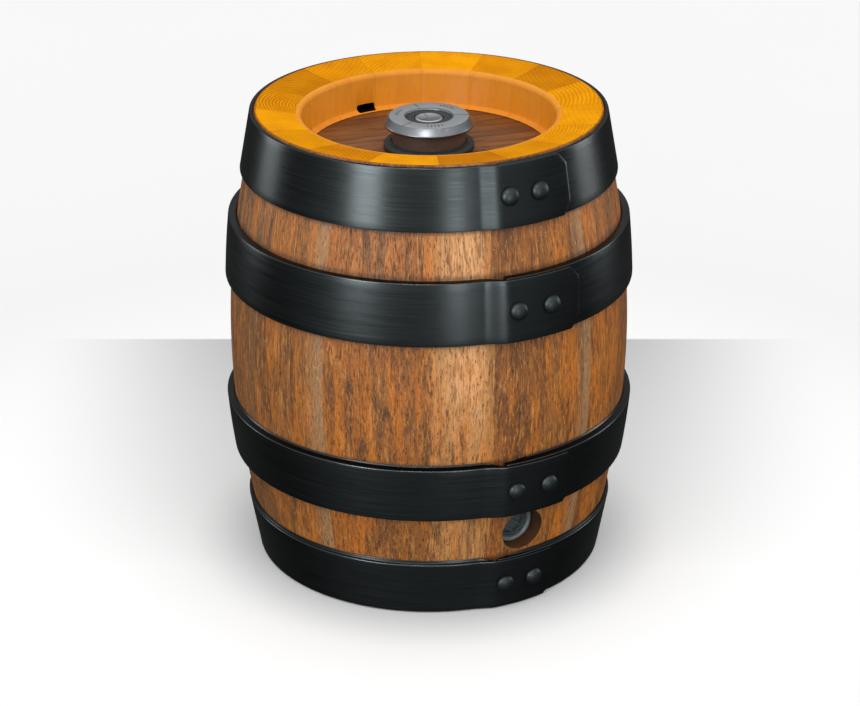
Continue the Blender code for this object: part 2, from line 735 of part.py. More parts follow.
def build():
    clear_scene()
    axis = tap_axis()
    wood_hole = tap_cutter("wood_tap_hole", TAP_HOLE, 0.100, 0.150, axis)
    vessel_hole = tap_cutter("vessel_tap_hole", TAP_BODY + GAP, 0.090, 0.130, axis)
    drain_slot = drain_cutter()
    staves(wood_hole, drain_slot)
    for row in HOOPS:
        hoop(*row, drain_slot)
    heads()
    vessel_shells(vessel_hole)
    foam_jacket(wood_hole)
    neck_parts()
    fitting_body()
    retaining_ring()
    centre_disc()
    valve_parts()
    spring_seat()
    valve_spring()
    tap_parts(axis)
    bpy.context.view_layer.update()


build()
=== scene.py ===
import json
import math

import bmesh
import bpy
from mathutils import Matrix, Vector


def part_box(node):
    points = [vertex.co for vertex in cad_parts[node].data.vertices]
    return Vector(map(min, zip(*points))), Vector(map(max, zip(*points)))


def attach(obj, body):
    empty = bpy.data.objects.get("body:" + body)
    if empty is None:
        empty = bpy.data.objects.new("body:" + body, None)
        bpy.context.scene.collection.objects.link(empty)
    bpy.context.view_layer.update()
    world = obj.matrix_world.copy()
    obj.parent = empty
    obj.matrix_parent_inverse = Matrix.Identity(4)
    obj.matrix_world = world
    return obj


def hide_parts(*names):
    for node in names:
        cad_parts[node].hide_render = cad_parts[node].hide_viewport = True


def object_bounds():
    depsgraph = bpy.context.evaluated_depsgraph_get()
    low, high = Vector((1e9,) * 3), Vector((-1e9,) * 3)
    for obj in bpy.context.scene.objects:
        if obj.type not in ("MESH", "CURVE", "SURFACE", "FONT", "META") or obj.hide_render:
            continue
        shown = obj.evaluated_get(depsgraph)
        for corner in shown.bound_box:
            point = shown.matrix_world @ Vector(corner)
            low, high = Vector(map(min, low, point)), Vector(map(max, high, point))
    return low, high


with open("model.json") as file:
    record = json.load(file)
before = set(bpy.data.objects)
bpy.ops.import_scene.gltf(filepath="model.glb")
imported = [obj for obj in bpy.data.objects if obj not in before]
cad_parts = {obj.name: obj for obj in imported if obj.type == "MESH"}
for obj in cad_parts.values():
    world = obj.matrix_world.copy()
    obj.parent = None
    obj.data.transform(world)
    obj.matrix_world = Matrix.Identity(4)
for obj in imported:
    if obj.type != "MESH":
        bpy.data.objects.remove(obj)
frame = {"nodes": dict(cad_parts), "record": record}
cad_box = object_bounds()

# Driving dimensions, in metres. Heights come from the frame.
HEIGHT = cad_box[1].z
# Air between pieces that touch.
GAP = 0.0003
BELLY_RADIUS = 0.1476
BELLY_CURVE = 0.82
STRAIGHT_FROM = 0.112
JACKET_WALL = 0.018
RIM_INNER = 0.0953
RIM_SLOPE = 0.0042
CHIME_WALL = 0.0913
LEDGE_RADIUS = 0.0868
CROZE_RADIUS = 0.0923
SHOULDER_RADIUS = 0.0885
CORNER_RADIUS = 0.1130
FOOT_FLAT = 0.015

STAVES = 16
FIRST_SEAM = math.radians(3.3)
STAVE_WIDTH = math.tau / STAVES
SEAM_GAP = math.radians(0.008)
STAVE_BEVEL = 0.00006

HEAD_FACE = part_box("head_board_1")[1].z
HEAD_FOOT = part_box("head_board_1")[0].z
BASE_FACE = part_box("base_board_1")[0].z
BASE_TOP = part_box("base_board_1")[1].z
HEAD_RADIUS = 0.0917
HEAD_TURN = math.radians(17)
HEAD_GAP = 0.00025
OVAL_CENTRE = (0.0585, -0.0055)
OVAL_SIZE = (0.0200, 0.0128)

# Each hoop: stand-off from the wood at its lower and upper edge, tongue thickness, tongue end in
# degrees, and how far its shelf and its inner crest stand above its outer edge.
HOOPS = {
    "top_chime_hoop": (0.0033, 0.0034, 0.0023, -44.7, 0.0, -0.0011),
    "upper_bilge_hoop": (0.0046, 0.0066, 0.0034, -46.5, 0.0, -0.0011),
    "lower_bilge_hoop": (0.0056, 0.0058, 0.0034, -47.5, 0.0010, 0.0024),
    "bottom_chime_hoop": (0.0033, 0.0033, 0.0023, -47.5, 0.0009, 0.0033),
}
HOOP_LIP = 0.0009
HOOP_STEPS = 110
# The lap, in degrees round the keg: the band steps outwards along the joggle and goes on as a tongue
# over its own start, whose top rises to full height along the under run.
JOGGLE_START = -75.5
JOGGLE_END = -67.8
JOGGLE_STEPS = 18
UNDER_END = -68.5
UNDER_RUN = 9.0
TONGUE_TOP = (0.0, -0.0011)
TONGUE_CUT = 0.0080
TONGUE_SLANT = 0.85
RIVET_ANGLES = (-66.0, -56.0)
RIVET_HEAD = 0.0068
RIVET_RISE = 0.0050

DRAIN_ANGLE = math.radians(121.5)
DRAIN_LOW = 0.3151
DRAIN_HIGH = 0.3203
DRAIN_WIDTH = 0.0152

FLANGE_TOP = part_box("fitting_body")[1].z
FLANGE_RADIUS = 0.0330
FLANGE_FLAT = 0.0290
MOUTH_RADIUS = 0.0164
VALVE_BORE = 0.0176
NECK_RADIUS = 0.0269
NECK_BORE = 0.0219
SEAL_RADIUS = 0.0161
CENTRE_RADIUS = 0.0105
MARK_ANGLES = (4.0, 113.0, 230.0)

TAP_ANGLE = math.radians(-60.5)
TAP_HEIGHT = 0.064
TAP_HOLE = 0.0166
TAP_FACE = 0.1240
TAP_FLANGE = 0.0163
TAP_BODY = 0.0135
TAP_BORE = 0.0120
TAP_FOOT = 0.1040
PLUG_RADIUS = 0.0117
PLUG_DEPTH = 0.0120
PLUG_RIB_TURN = math.radians(-37)

WOOD_TINT = (1.10, 1.05, 0.78, 1.0)

# The floor's grey patch, a painted shadow behind the keg: where it starts and stops behind the keg's axis,
# and where it fades aside.
FLOOR_REACH = 8.0
PATCH_START = -0.06
PATCH_END = 0.366
PATCH_SIDES = (0.14, 0.36)
# The part of the surroundings' light that shows in reflections.
GLOSS_SHARE = 0.75
# Softboxes that show only in reflections: azimuth in degrees, distance, low and high edge, width, watts.
SOFTBOXES = {
    "front_left_box": (-126, 1.3, 0.22, 0.90, 0.34, 12.5),
    "front_box": (-75, 1.25, 0.00, 0.60, 0.20, 3.6),
    "left_box": (163, 1.3, 0.15, 0.70, 0.35, 4),
    "right_box": (15, 1.3, 0.15, 0.70, 0.38, 4.5),
}

# Faces of a stave, in the order of its material slots.
SIDE, RIM, WALL, LEDGE, BORE = range(5)
# Faces that an engraving cuts into metal.
ENGRAVED = 1


def colour(red, green, blue):
    """A display colour, 0 to 255, as the linear value that a shader takes."""
    linear = []
    for value in (red, green, blue):
        share = value / 255
        linear.append(share / 12.92 if share <= 0.04045 else ((share + 0.055) / 1.055) ** 2.4)
    return (*linear, 1.0)


class Nodes:
    """Short calls that add nodes to a tree and return their outputs."""

    def __init__(self, tree, coordinates):
        self.tree = tree
        self.place = self.node("ShaderNodeTexCoord").outputs[coordinates]

    def node(self, kind, inputs=(), **settings):
        made = self.tree.nodes.new(kind)
        for key, value in settings.items():
            setattr(made, key, value)
        for key, value in dict(inputs).items():
            self.feed(made.inputs[key], value)
        return made

    def feed(self, socket, value):
        if isinstance(value, bpy.types.NodeSocket):
            self.tree.links.new(value, socket)
        else:
            socket.default_value = value

    def math(self, operation, first, second=0.0, third=0.0):
        inputs = {0: first, 1: second, 2: third}
        return self.node("ShaderNodeMath", inputs, operation=operation).outputs[0]

    def mix(self, share, first, second, blend="MIX"):
        inputs = {0: share, 6: first, 7: second}
        return self.node("ShaderNodeMix", inputs, data_type="RGBA", blend_type=blend).outputs[2]

    def times(self, first, second):
        return self.math("MULTIPLY", first, second)

    def length(self, x, y):
        squares = [self.math("POWER", side, 2.0) for side in (x, y)]
        return self.math("SQRT", self.math("ADD", *squares))

    def tint(self, base, value, low, high, most, tone):
        """Mixes a display colour into the base as the value goes from low to high, up to most."""
        return self.mix(self.band(value, low, high, 0, most), base, colour(*tone))

    def upward(self):
        """How far a face points up, 1 where it is level."""
        return self.parts(self.node("ShaderNodeNewGeometry").outputs["Normal"])[2]

    def band(self, value, low, high, to_low=0.0, to_high=1.0):
        """Goes smoothly from to_low to to_high as the value goes from low to high."""
        inputs = {0: value, 1: low, 2: high, 3: to_low, 4: to_high}
        return self.node("ShaderNodeMapRange", inputs, interpolation_type="SMOOTHSTEP").outputs[0]

    def noise(self, vector, scale, detail=3.0, roughness=0.55, distortion=0.0):
        inputs = {"Vector": vector, "Scale": scale, "Detail": detail, "Roughness": roughness}
        inputs["Distortion"] = distortion
        return self.node("ShaderNodeTexNoise", inputs).outputs[0]

    def steps(self, value, stops):
        """A plain colour from each (place, colour) stop to the next."""
        made = self.node("ShaderNodeValToRGB", {0: value})
        elements = made.color_ramp.elements
        made.color_ramp.interpolation = "CONSTANT"
        while len(elements) < len(stops):
            elements.new(1.0)
        for element, (place, tone) in zip(elements, stops):
            element.position = place
            element.color = tone
        return made.outputs[0]

    def parts(self, vector=None):
        made = self.node("ShaderNodeSeparateXYZ", {0: vector or self.place})
        return made.outputs[0], made.outputs[1], made.outputs[2]

    def joined(self, x, y, z):
        return self.node("ShaderNodeCombineXYZ", {0: x, 1: y, 2: z}).outputs[0]

    def stretched(self, x, y, z, turn=0.0, shift=(0.0, 0.0, 0.0)):
        """The object's coordinates, turned about Z, moved, then scaled on each axis."""
        turned = self.node(
            "ShaderNodeMapping", {"Vector": self.place, "Rotation": (0, 0, turn), "Location": shift}
        ).outputs[0]
        return self.node("ShaderNodeMapping", {"Vector": turned, "Scale": (x, y, z)}).outputs[0]

    def azimuth(self):
        """Degrees round the keg's axis, -180 to 180."""
        x, y, _ = self.parts()
        return self.times(self.math("ARCTAN2", y, x), math.degrees(1))

    def wrapped(self, round_scale, height_scale, shift=0.0):
        """Coordinates that wrap round the keg: scaled along the turn and along the height."""
        x, y, z = self.parts()
        plan = self.joined(x, y, 0.0)
        direction = self.node("ShaderNodeVectorMath", {0: plan}, operation="NORMALIZE").outputs[0]
        x, y, _ = self.parts(direction)
        reach = BELLY_RADIUS * round_scale
        tall = self.math("MULTIPLY_ADD", z, height_scale, shift)
        return self.joined(self.times(x, reach), self.times(y, reach), tall)

    def bump(self, height, distance, strength=1.0):
        inputs = {"Height": height, "Distance": distance, "Strength": strength}
        return self.node("ShaderNodeBump", inputs).outputs[0]


class Finish(Nodes):
    """One material: a Principled shader and the nodes that feed it."""

    def __init__(self, name, roughness=0.5, metallic=0.0, specular=0.5):
        self.material = bpy.data.materials.new(name)
        self.material.use_nodes = True
        super().__init__(self.material.node_tree, "Object")
        self.shader = self.tree.nodes["Principled BSDF"]
        self.set("Roughness", roughness)
        self.set("Metallic", metallic)
        self.set("Specular IOR Level", specular)

    def set(self, name, value):
        self.feed(self.shader.inputs[name], value)

    def seam_turns(self, azimuth):
        """Staves counted round the keg from its first seam, 16 too many so that none is negative."""
        width = math.degrees(STAVE_WIDTH)
        return self.math("MULTIPLY_ADD", azimuth, 1 / width, STAVES - math.degrees(FIRST_SEAM) / width)

    def seam_line(self, base, azimuth, ends, most, tone):
        """Darkens the base next to the seams: 0.5 in ends is the seam itself."""
        phase = self.math("FRACT", self.seam_turns(azimuth))
        off = self.math("ABSOLUTE", self.math("SUBTRACT", phase, 0.5))
        return self.tint(base, off, *ends, most, tone)

    def hoop_grime(self, z):
        """Painted shade: darkens the wood next to each hoop's edges, where the hoops shade it."""
        total = None
        for name in HOOPS:
            low, high = hoop_edges(name)
            middle = (low + high) / 2
            off = self.math("ABSOLUTE", self.math("SUBTRACT", z, middle))
            off = self.math("SUBTRACT", off, middle - low)
            near = self.band(off, 0.0005, 0.0045, 0.5, 0)
            total = near if total is None else self.math("MAXIMUM", total, near)
        return total

    def rim_edges(self, middle):
        """Darker at the joints to the neighbours, and worn at the outer edge next to the hoop."""
        x, y, _ = self.parts(self.stretched(1, 1, 0, -middle))
        swing = self.math("ABSOLUTE", self.math("ARCTAN2", y, x))
        joint = self.band(swing, STAVE_WIDTH / 2 * 0.988, STAVE_WIDTH / 2, 0, 0.12)
        ragged = self.math("MULTIPLY_ADD", self.noise(self.place, 260.0, 3), 0.0022, self.length(x, y))
        edge = wood_radius(HEIGHT)
        worn = self.band(ragged, edge - 0.0008, edge + 0.0008, 0, 0.9)
        return self.math("MAXIMUM", joint, worn)


# Geometry

def wood_radius(height):
    """Outer radius of the staves: a parabola in the belly and straight towards both ends."""
    from_middle = abs(height - HEIGHT / 2)
    curved = min(from_middle, STRAIGHT_FROM)
    straight = from_middle - curved
    return BELLY_RADIUS - BELLY_CURVE * curved**2 - 2 * BELLY_CURVE * STRAIGHT_FROM * straight


def around(outline, angle):
    """The (radius, height) outline in the upright plane at this angle."""
    return [(r * math.cos(angle), r * math.sin(angle), z) for r, z in outline]


def lofted(sections, closed=False, zones=None):
    """A skin over a row of equal sections. zones gives each outline segment's material slot."""
    mesh = bmesh.new()
    rings = [[mesh.verts.new(point) for point in section] for section in sections]
    pairs = list(zip(rings, rings[1:]))
    if closed:
        pairs.append((rings[-1], rings[0]))
    for ring, following in pairs:
        for i in range(len(ring)):
            j = (i + 1) % len(ring)
            face = mesh.faces.new((ring[i], ring[j], following[j], following[i]))
            face.material_index = zones[i] if zones else 0
    if not closed:
        mesh.faces.new(rings[0])
        mesh.faces.new(reversed(rings[-1]))
    return mesh


def turned(outline, steps=96):
    """A (radius, height) outline turned about Z: a ring, or a disc if it starts and ends on the axis."""
    if outline[0][0] > 0:
        return lofted([around(outline, math.tau * k / steps) for k in range(steps)], closed=True)
    mesh = bmesh.new()
    rings = []
    for radius, height in outline:
        if radius == 0:
            rings.append([mesh.verts.new((0, 0, height))] * steps)
            continue
        turn = [math.tau * k / steps for k in range(steps)]
        rings.append([mesh.verts.new((radius * math.cos(a), radius * math.sin(a), height)) for a in turn])
    for ring, following in zip(rings, rings[1:]):
        for i in range(steps):
            j = (i + 1) % steps
            mesh.faces.new(tuple(dict.fromkeys((ring[i], ring[j], following[j], following[i]))))
    return mesh


def prism(outline, low, high):
    """A flat (x, y) outline raised from one height to another."""
    return lofted([[(x, y, low) for x, y in outline], [(x, y, high) for x, y in outline]])


def arc(centre, radius, start, end, steps):
    """Points along an arc, angles in degrees."""
    points = []
    for k in range(steps + 1):
        swing = math.radians(start + (end - start) * k / steps)
        points.append((centre[0] + radius * math.cos(swing), centre[1] + radius * math.sin(swing)))
    return points


def rounded(outline, radius, steps=3, sharpest=25.0, corners=None):
    """A closed outline with small arcs at the listed corners, or at those sharper than sharpest degrees."""
    made = []
    for i, point in enumerate(outline):
        here = Vector(point)
        back = Vector(outline[i - 1]) - here
        ahead = Vector(outline[(i + 1) % len(outline)]) - here
        bend = 180 - math.degrees(back.angle(ahead))
        if bend < sharpest if corners is None else i not in corners:
            made.append(tuple(here))
            continue
        reach = min(radius * math.tan(math.radians(bend) / 2), 0.4 * back.length, 0.4 * ahead.length)
        first = here + back.normalized() * reach
        last = here + ahead.normalized() * reach
        for k in range(steps + 1):
            share = k / steps
            made.append(tuple(first * (1 - share) ** 2 + here * 2 * share * (1 - share) + last * share**2))
    return made


def bar(near, far, half):
    """A rectangle's (x, y) outline, lying along X."""
    return [(near, -half), (far, -half), (far, half), (near, half)]


def marked(mesh, slot):
    """Gives all the mesh's faces one material slot."""
    for face in mesh.faces:
        face.material_index = slot
    return mesh


def swung(degrees):
    return Matrix.Rotation(math.radians(degrees), 4, "Z")


def new_object(name, mesh_builder, materials=(), place=None, smooth=35.0):
    """An object from a bmesh, with outward faces, its vertices moved to their place."""
    bmesh.ops.recalc_face_normals(mesh_builder, faces=mesh_builder.faces)
    mesh = bpy.data.meshes.new(name)
    mesh_builder.to_mesh(mesh)
    mesh_builder.free()
    if place is not None:
        mesh.transform(place)
    for material in materials:
        mesh.materials.append(material)
    mesh.shade_smooth()
    mesh.set_sharp_from_angle(angle=math.radians(smooth))
    made = bpy.data.objects.new(name, mesh)
    bpy.context.scene.collection.objects.link(made)
    return made


def applied(piece):
    """Applies the piece's modifiers."""
    graph = bpy.context.evaluated_depsgraph_get()
    mesh = bpy.data.meshes.new_from_object(piece.evaluated_get(graph))
    piece.modifiers.clear()
    piece.data = mesh
    mesh.shade_smooth()
    mesh.set_sharp_from_angle(angle=math.radians(35.0))
    return piece


def carved(piece, cutters):
    """Takes the cutters' volumes out of the piece."""
    for cutter in cutters:
        boolean = piece.modifiers.new("cut", "BOOLEAN")
        boolean.operation = "DIFFERENCE"
        boolean.object = cutter
    bpy.context.view_layer.update()
    return applied(piece)


def united(piece, others):
    """Adds the other objects' volumes to the piece, and removes them."""
    for other in others:
        boolean = piece.modifiers.new("join", "BOOLEAN")
        boolean.operation = "UNION"
        boolean.object = other
    bpy.context.view_layer.update()
    applied(piece)
    remove(others)


def softened(piece, width, segments=2, angle=40.0):
    """Rounds the piece's sharp edges."""
    bevel = piece.modifiers.new("edges", "BEVEL")
    bevel.width = width
    bevel.segments = segments
    bevel.limit_method = "ANGLE"
    bevel.angle_limit = math.radians(angle)
    bevel.use_clamp_overlap = True
    bpy.context.view_layer.update()
    return applied(piece)


def remove(objects):
    for obj in objects:
        bpy.data.objects.remove(obj, do_unlink=True)


def stands_for(piece, node):
    """The piece rides on the CAD node's body and replaces the node."""
    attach(piece, node_body(node))
    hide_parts(node)
    return piece


def node_body(node):
    bodies = frame["record"]["behaviour"]["bodies"]
    return next(body for body, members in bodies.items() if node in members)


# Wood

# Planks of the stained outside, each from an azimuth in degrees with its display colour.
PLANKS = (
    (-180.0, (150, 93, 42)),
    (-171.0, (128, 84, 48)),
    (-155.0, (138, 92, 55)),
    (-146.0, (158, 98, 42)),
    (-138.5, (160, 102, 48)),
    (-120.5, (166, 99, 36)),
    (-106.0, (144, 90, 44)),
    (-90.0, (186, 130, 78)),
    (-72.6, (142, 88, 46)),
    (-56.4, (158, 100, 48)),
    (-38.5, (166, 100, 38)),
    (-24.0, (146, 90, 44)),
    (-8.0, (178, 120, 66)),
    (9.4, (140, 88, 46)),
    (25.6, (160, 102, 48)),
    (43.5, (166, 99, 36)),
    (58.0, (144, 90, 44)),
    (74.0, (180, 124, 70)),
    (91.4, (142, 88, 46)),
    (107.6, (158, 100, 48)),
    (125.5, (166, 100, 38)),
    (140.0, (146, 90, 44)),
    (156.0, (176, 118, 64)),
    (172.0, (150, 93, 42)),
)
PALE_STRIPES = (-120.5, -38.5, 43.5, 125.5)
WORN_ZONES = (-81.5, 82.5)


def outer_oak():
    """The stained outside: planks of differing tone, streaks, pores, scratches and worn zones."""
    made = Finish("oak_outside", specular=0.35)
    azimuth = made.azimuth()
    _, _, z = made.parts()
    wander = made.noise(made.wrapped(12, 9), 1.0, 2)
    bent = made.math("MULTIPLY_ADD", wander, 1.6, made.math("SUBTRACT", azimuth, 0.8))
    share = made.math("MULTIPLY_ADD", bent, 1 / 360, 0.5)
    stops = [(angle / 360 + 0.5, colour(*tone)) for angle, tone in PLANKS]
    base = made.steps(share, stops)
    glow = made.noise(made.wrapped(62, 8), 1.0, 3, 0.6, 0.8)
    base = made.tint(base, glow, 0.44, 0.64, 0.75, (204, 118, 30))
    blotch = made.noise(made.wrapped(84, 13, 3.1), 1.0, 4, 0.66, 1.0)
    base = made.tint(base, blotch, 0.49, 0.64, 0.78, (96, 62, 38))
    streak = made.noise(made.wrapped(330, 34, 7.7), 1.0, 5, 0.72, 1.2)
    base = made.tint(base, streak, 0.47, 0.64, 0.6, (88, 56, 34))
    light = made.noise(made.wrapped(300, 42, 1.9), 1.0, 4, 0.7, 0.4)
    base = made.tint(base, light, 0.52, 0.68, 0.55, (214, 146, 84))
    for stripe in PALE_STRIPES:
        rise = made.band(bent, stripe - 7.0, stripe - 1.2, 0, 0.72)
        stop = made.band(bent, stripe - 0.15, stripe + 0.15, 1, 0)
        base = made.mix(made.times(rise, stop), base, colour(166, 132, 108))
    high = made.band(z, HEIGHT * 0.36, HEIGHT * 0.58, 0.22, 1.0)
    for centre in WORN_ZONES:
        off = made.math("SUBTRACT", azimuth, centre)
        sides = made.times(made.band(off, -10.5, 1.0), made.band(off, 6.0, 9.5, 1, 0))
        grain = made.noise(made.wrapped(300, 52, 4.4), 1.0, 5, 0.75, 1.0)
        share = made.times(made.times(sides, high), made.band(grain, 0.42, 0.58, 0.12, 0.88))
        base = made.mix(share, base, colour(234, 178, 140))
    fine = made.noise(made.wrapped(930, 190, 9.3), 1.0, 3, 0.7)
    pits = made.band(fine, 0.55, 0.69)
    base = made.mix(made.times(pits, 0.72), base, colour(62, 36, 20))
    base = made.tint(base, fine, 0.45, 0.30, 0.5, (232, 166, 102))
    where = made.band(made.noise(made.wrapped(30, 26, 2.2), 1.0, 2), 0.52, 0.66, 0, 1)
    marks = made.noise(made.wrapped(640, 420, 5.5), 1.0, 3, 0.7, 1.4)
    scratch = made.times(where, made.band(marks, 0.615, 0.665, 0, 1))
    base = made.mix(made.times(scratch, 0.8), base, colour(240, 196, 140))
    base = made.seam_line(base, azimuth, (0.490, 0.4985), 0.22, (48, 30, 20))
    # Painted shade on the wood along the hoops' edges.
    base = made.mix(made.hoop_grime(z), base, colour(38, 22, 14))
    made.set("Base Color", made.mix(1.0, base, WOOD_TINT, "MULTIPLY"))
    made.set("Roughness", made.band(streak, 0.3, 0.7, 0.48, 0.66))
    height = made.math("MULTIPLY_ADD", pits, -1.0, made.times(streak, -0.7))
    height = made.math("MULTIPLY_ADD", scratch, 0.6, height)
    made.set("Normal", made.bump(height, 0.00035, 0.8))
    return made.material


# End grain of each stave's rim: display colour, ring centre (outwards, sideways) in metres from
# the middle of the rim, rings per metre, and how strong the rings are.
RIM_GRAIN = (
    ((240, 166, 4), (-0.060, 0.010), 330, 0.50),
    ((206, 134, 6), (0.160, -0.060), 300, 0.22),
    ((224, 150, 4), (0.200, 0.050), 280, 0.25),
    ((242, 168, 2), (0.260, 0.000), 260, 0.14),
    ((236, 162, 4), (-0.040, -0.020), 340, 0.45),
    ((224, 150, 4), (0.120, 0.080), 300, 0.22),
    ((206, 136, 6), (0.140, -0.090), 320, 0.38),
    ((228, 154, 4), (-0.024, 0.002), 420, 0.85),
    ((240, 166, 18), (0.180, 0.070), 260, 0.16),
    ((240, 166, 14), (0.020, 0.190), 430, 0.70),
    ((216, 140, 18), (0.150, -0.120), 300, 0.35),
    ((241, 167, 24), (0.300, 0.020), 240, 0.15),
    ((206, 132, 22), (0.130, 0.090), 320, 0.40),
    ((226, 154, 22), (0.190, -0.050), 280, 0.28),
    ((238, 164, 16), (-0.070, -0.015), 360, 0.42),
    ((239, 165, 16), (0.220, 0.060), 260, 0.15),
)


def rim_oak(number):
    """Varnished end grain of one stave: growth rings round their own centre, rays and pores."""
    tone, centre, rings, strength = RIM_GRAIN[number]
    middle = FIRST_SEAM + (number + 0.5) * STAVE_WIDTH
    rim_middle = (RIM_INNER + wood_radius(HEIGHT)) / 2
    made = Finish(f"oak_rim_{number + 1:02d}", specular=0.012)
    shift = (-rim_middle - centre[0], -centre[1], 0.0)
    local = made.stretched(1, 1, 0, -middle, shift)
    blur = made.noise(local, 55.0, 3)
    wave = {"Vector": local, "Scale": rings * math.tau / 20, "Distortion": 2.4, "Detail": 3.0}
    wave["Detail Scale"] = 1.6
    ring = made.node("ShaderNodeTexWave", wave, wave_type="RINGS", rings_direction="Z").outputs[1]
    late = made.band(ring, 0.45, 0.95, 0, 1)
    tone = tuple(value * factor for value, factor in zip(tone, (0.97, 0.93, 0.08)))
    dark = tuple(value * factor for value, factor in zip(tone, (0.80, 0.72, 0.5)))
    base = made.mix(made.band(blur, 0.35, 0.7, 0, 0.35), colour(*tone), colour(*dark))
    base = made.mix(made.times(late, strength), base, colour(*[v * 0.94 for v in dark]))
    rays = made.noise(made.stretched(70, 900, 0, -middle), 1.0, 2, 0.5)
    base = made.tint(base, rays, 0.56, 0.72, 0.30, dark)
    pores = made.noise(made.stretched(1900, 1900, 0, -middle), 1.0, 2, 0.5)
    base = made.tint(base, pores, 0.62, 0.72, 0.35, (150, 88, 4))
    base = made.mix(made.rim_edges(middle), base, colour(150, 84, 6))
    made.set("Base Color", base)
    made.set("Roughness", made.band(ring, 0.2, 0.9, 0.40, 0.56))
    height = made.math("MULTIPLY_ADD", late, -strength, made.times(rays, -0.3))
    made.set("Normal", made.bump(height, 0.00025, 0.7))
    return made.material


def wall_oak():
    """The smooth varnished wall of the well, paler near the top."""
    made = Finish("oak_well", roughness=0.40, specular=0.2)
    _, _, z = made.parts()
    azimuth = made.azimuth()
    rise = made.band(z, HEAD_FACE + 0.004, HEIGHT - 0.006)
    base = made.mix(rise, colour(230, 140, 24), colour(228, 146, 36))
    stave = made.math("FLOOR", made.math("ADD", made.seam_turns(azimuth), 4))
    number = made.node("ShaderNodeTexWhiteNoise", {"W": stave}, noise_dimensions="1D").outputs[0]
    base = made.mix(made.times(number, 0.35), base, colour(208, 128, 36))
    streak = made.noise(made.wrapped(60, 30), 1.0, 4, 0.6, 0.8)
    base = made.tint(base, streak, 0.45, 0.72, 0.35, (200, 118, 26))
    fleck = made.noise(made.wrapped(900, 120, 3.0), 1.0, 2)
    base = made.tint(base, fleck, 0.62, 0.74, 0.4, (160, 84, 14))
    base = made.seam_line(base, azimuth, (0.494, 0.499), 0.10, (170, 88, 12))
    made.set("Base Color", base)
    made.set("Normal", made.bump(made.math("ADD", streak, fleck), 0.00012, 0.5))
    return made.material


def ledge_oak():
    """The narrow ledge over the head and the deep orange of its varnish."""
    made = Finish("oak_ledge", roughness=0.38, specular=0.2)
    streak = made.noise(made.wrapped(160, 40), 1.0, 3)
    base = made.mix(made.band(streak, 0.4, 0.7, 0, 0.5), colour(238, 146, 28), colour(224, 128, 18))
    made.set("Base Color", base)
    made.set("Normal", made.bump(streak, 0.0001, 0.5))
    return made.material


def bore_oak():
    """The turned wall of the tap hole: end and side grain under varnish."""
    made = Finish("oak_bore", roughness=0.45)
    streak = made.noise(made.stretched(240, 240, 60), 1.0, 3, 0.6, 0.5)
    base = made.mix(made.band(streak, 0.4, 0.7, 0, 0.7), colour(96, 58, 24), colour(72, 42, 18))
    made.set("Base Color", base)
    made.set("Normal", made.bump(streak, 0.0002, 0.6))
    return made.material


def slot_oak():
    """The drain slot's wall: painted near-black shade standing in for the dark inside the slot."""
    made = Finish("oak_slot_shade", roughness=0.85, specular=0.0)
    stain = made.noise(made.place, 300.0, 3, 0.6)
    # Painted shade: both near-black colours stand for the shade in the slot, and the noise only mottles it.
    made.set("Base Color", made.mix(stain, colour(10, 8, 6), colour(20, 14, 10)))
    made.set("Normal", made.bump(stain, 0.0002, 0.5))
    return made.material


def head_oak(name, shift):
    """A dark stained head board: streaks along its length and fine pores."""
    made = Finish(name, specular=0.3)
    lengthways = made.stretched(10, 150, 10, -HEAD_TURN, (0, shift, 0))
    streak = made.noise(lengthways, 1.0, 4, 0.62, 0.8)
    base = made.mix(made.band(streak, 0.36, 0.66), colour(134, 82, 38), colour(98, 58, 26))
    glow = made.noise(made.stretched(14, 60, 10, -HEAD_TURN, (0, shift, 3.0)), 1.0, 2)
    base = made.tint(base, glow, 0.5, 0.7, 0.5, (152, 92, 38))
    pores = made.noise(made.stretched(90, 1700, 10, -HEAD_TURN, (0, shift, 1.0)), 1.0, 2)
    pits = made.band(pores, 0.55, 0.70)
    base = made.mix(made.times(pits, 0.6), base, colour(48, 26, 14))
    made.set("Base Color", base)
    made.set("Roughness", made.band(streak, 0.3, 0.7, 0.42, 0.6))
    made.set("Normal", made.bump(made.math("MULTIPLY_ADD", pits, -1.0, streak), 0.00025, 0.7))
    return made.material


# Metal and rubber

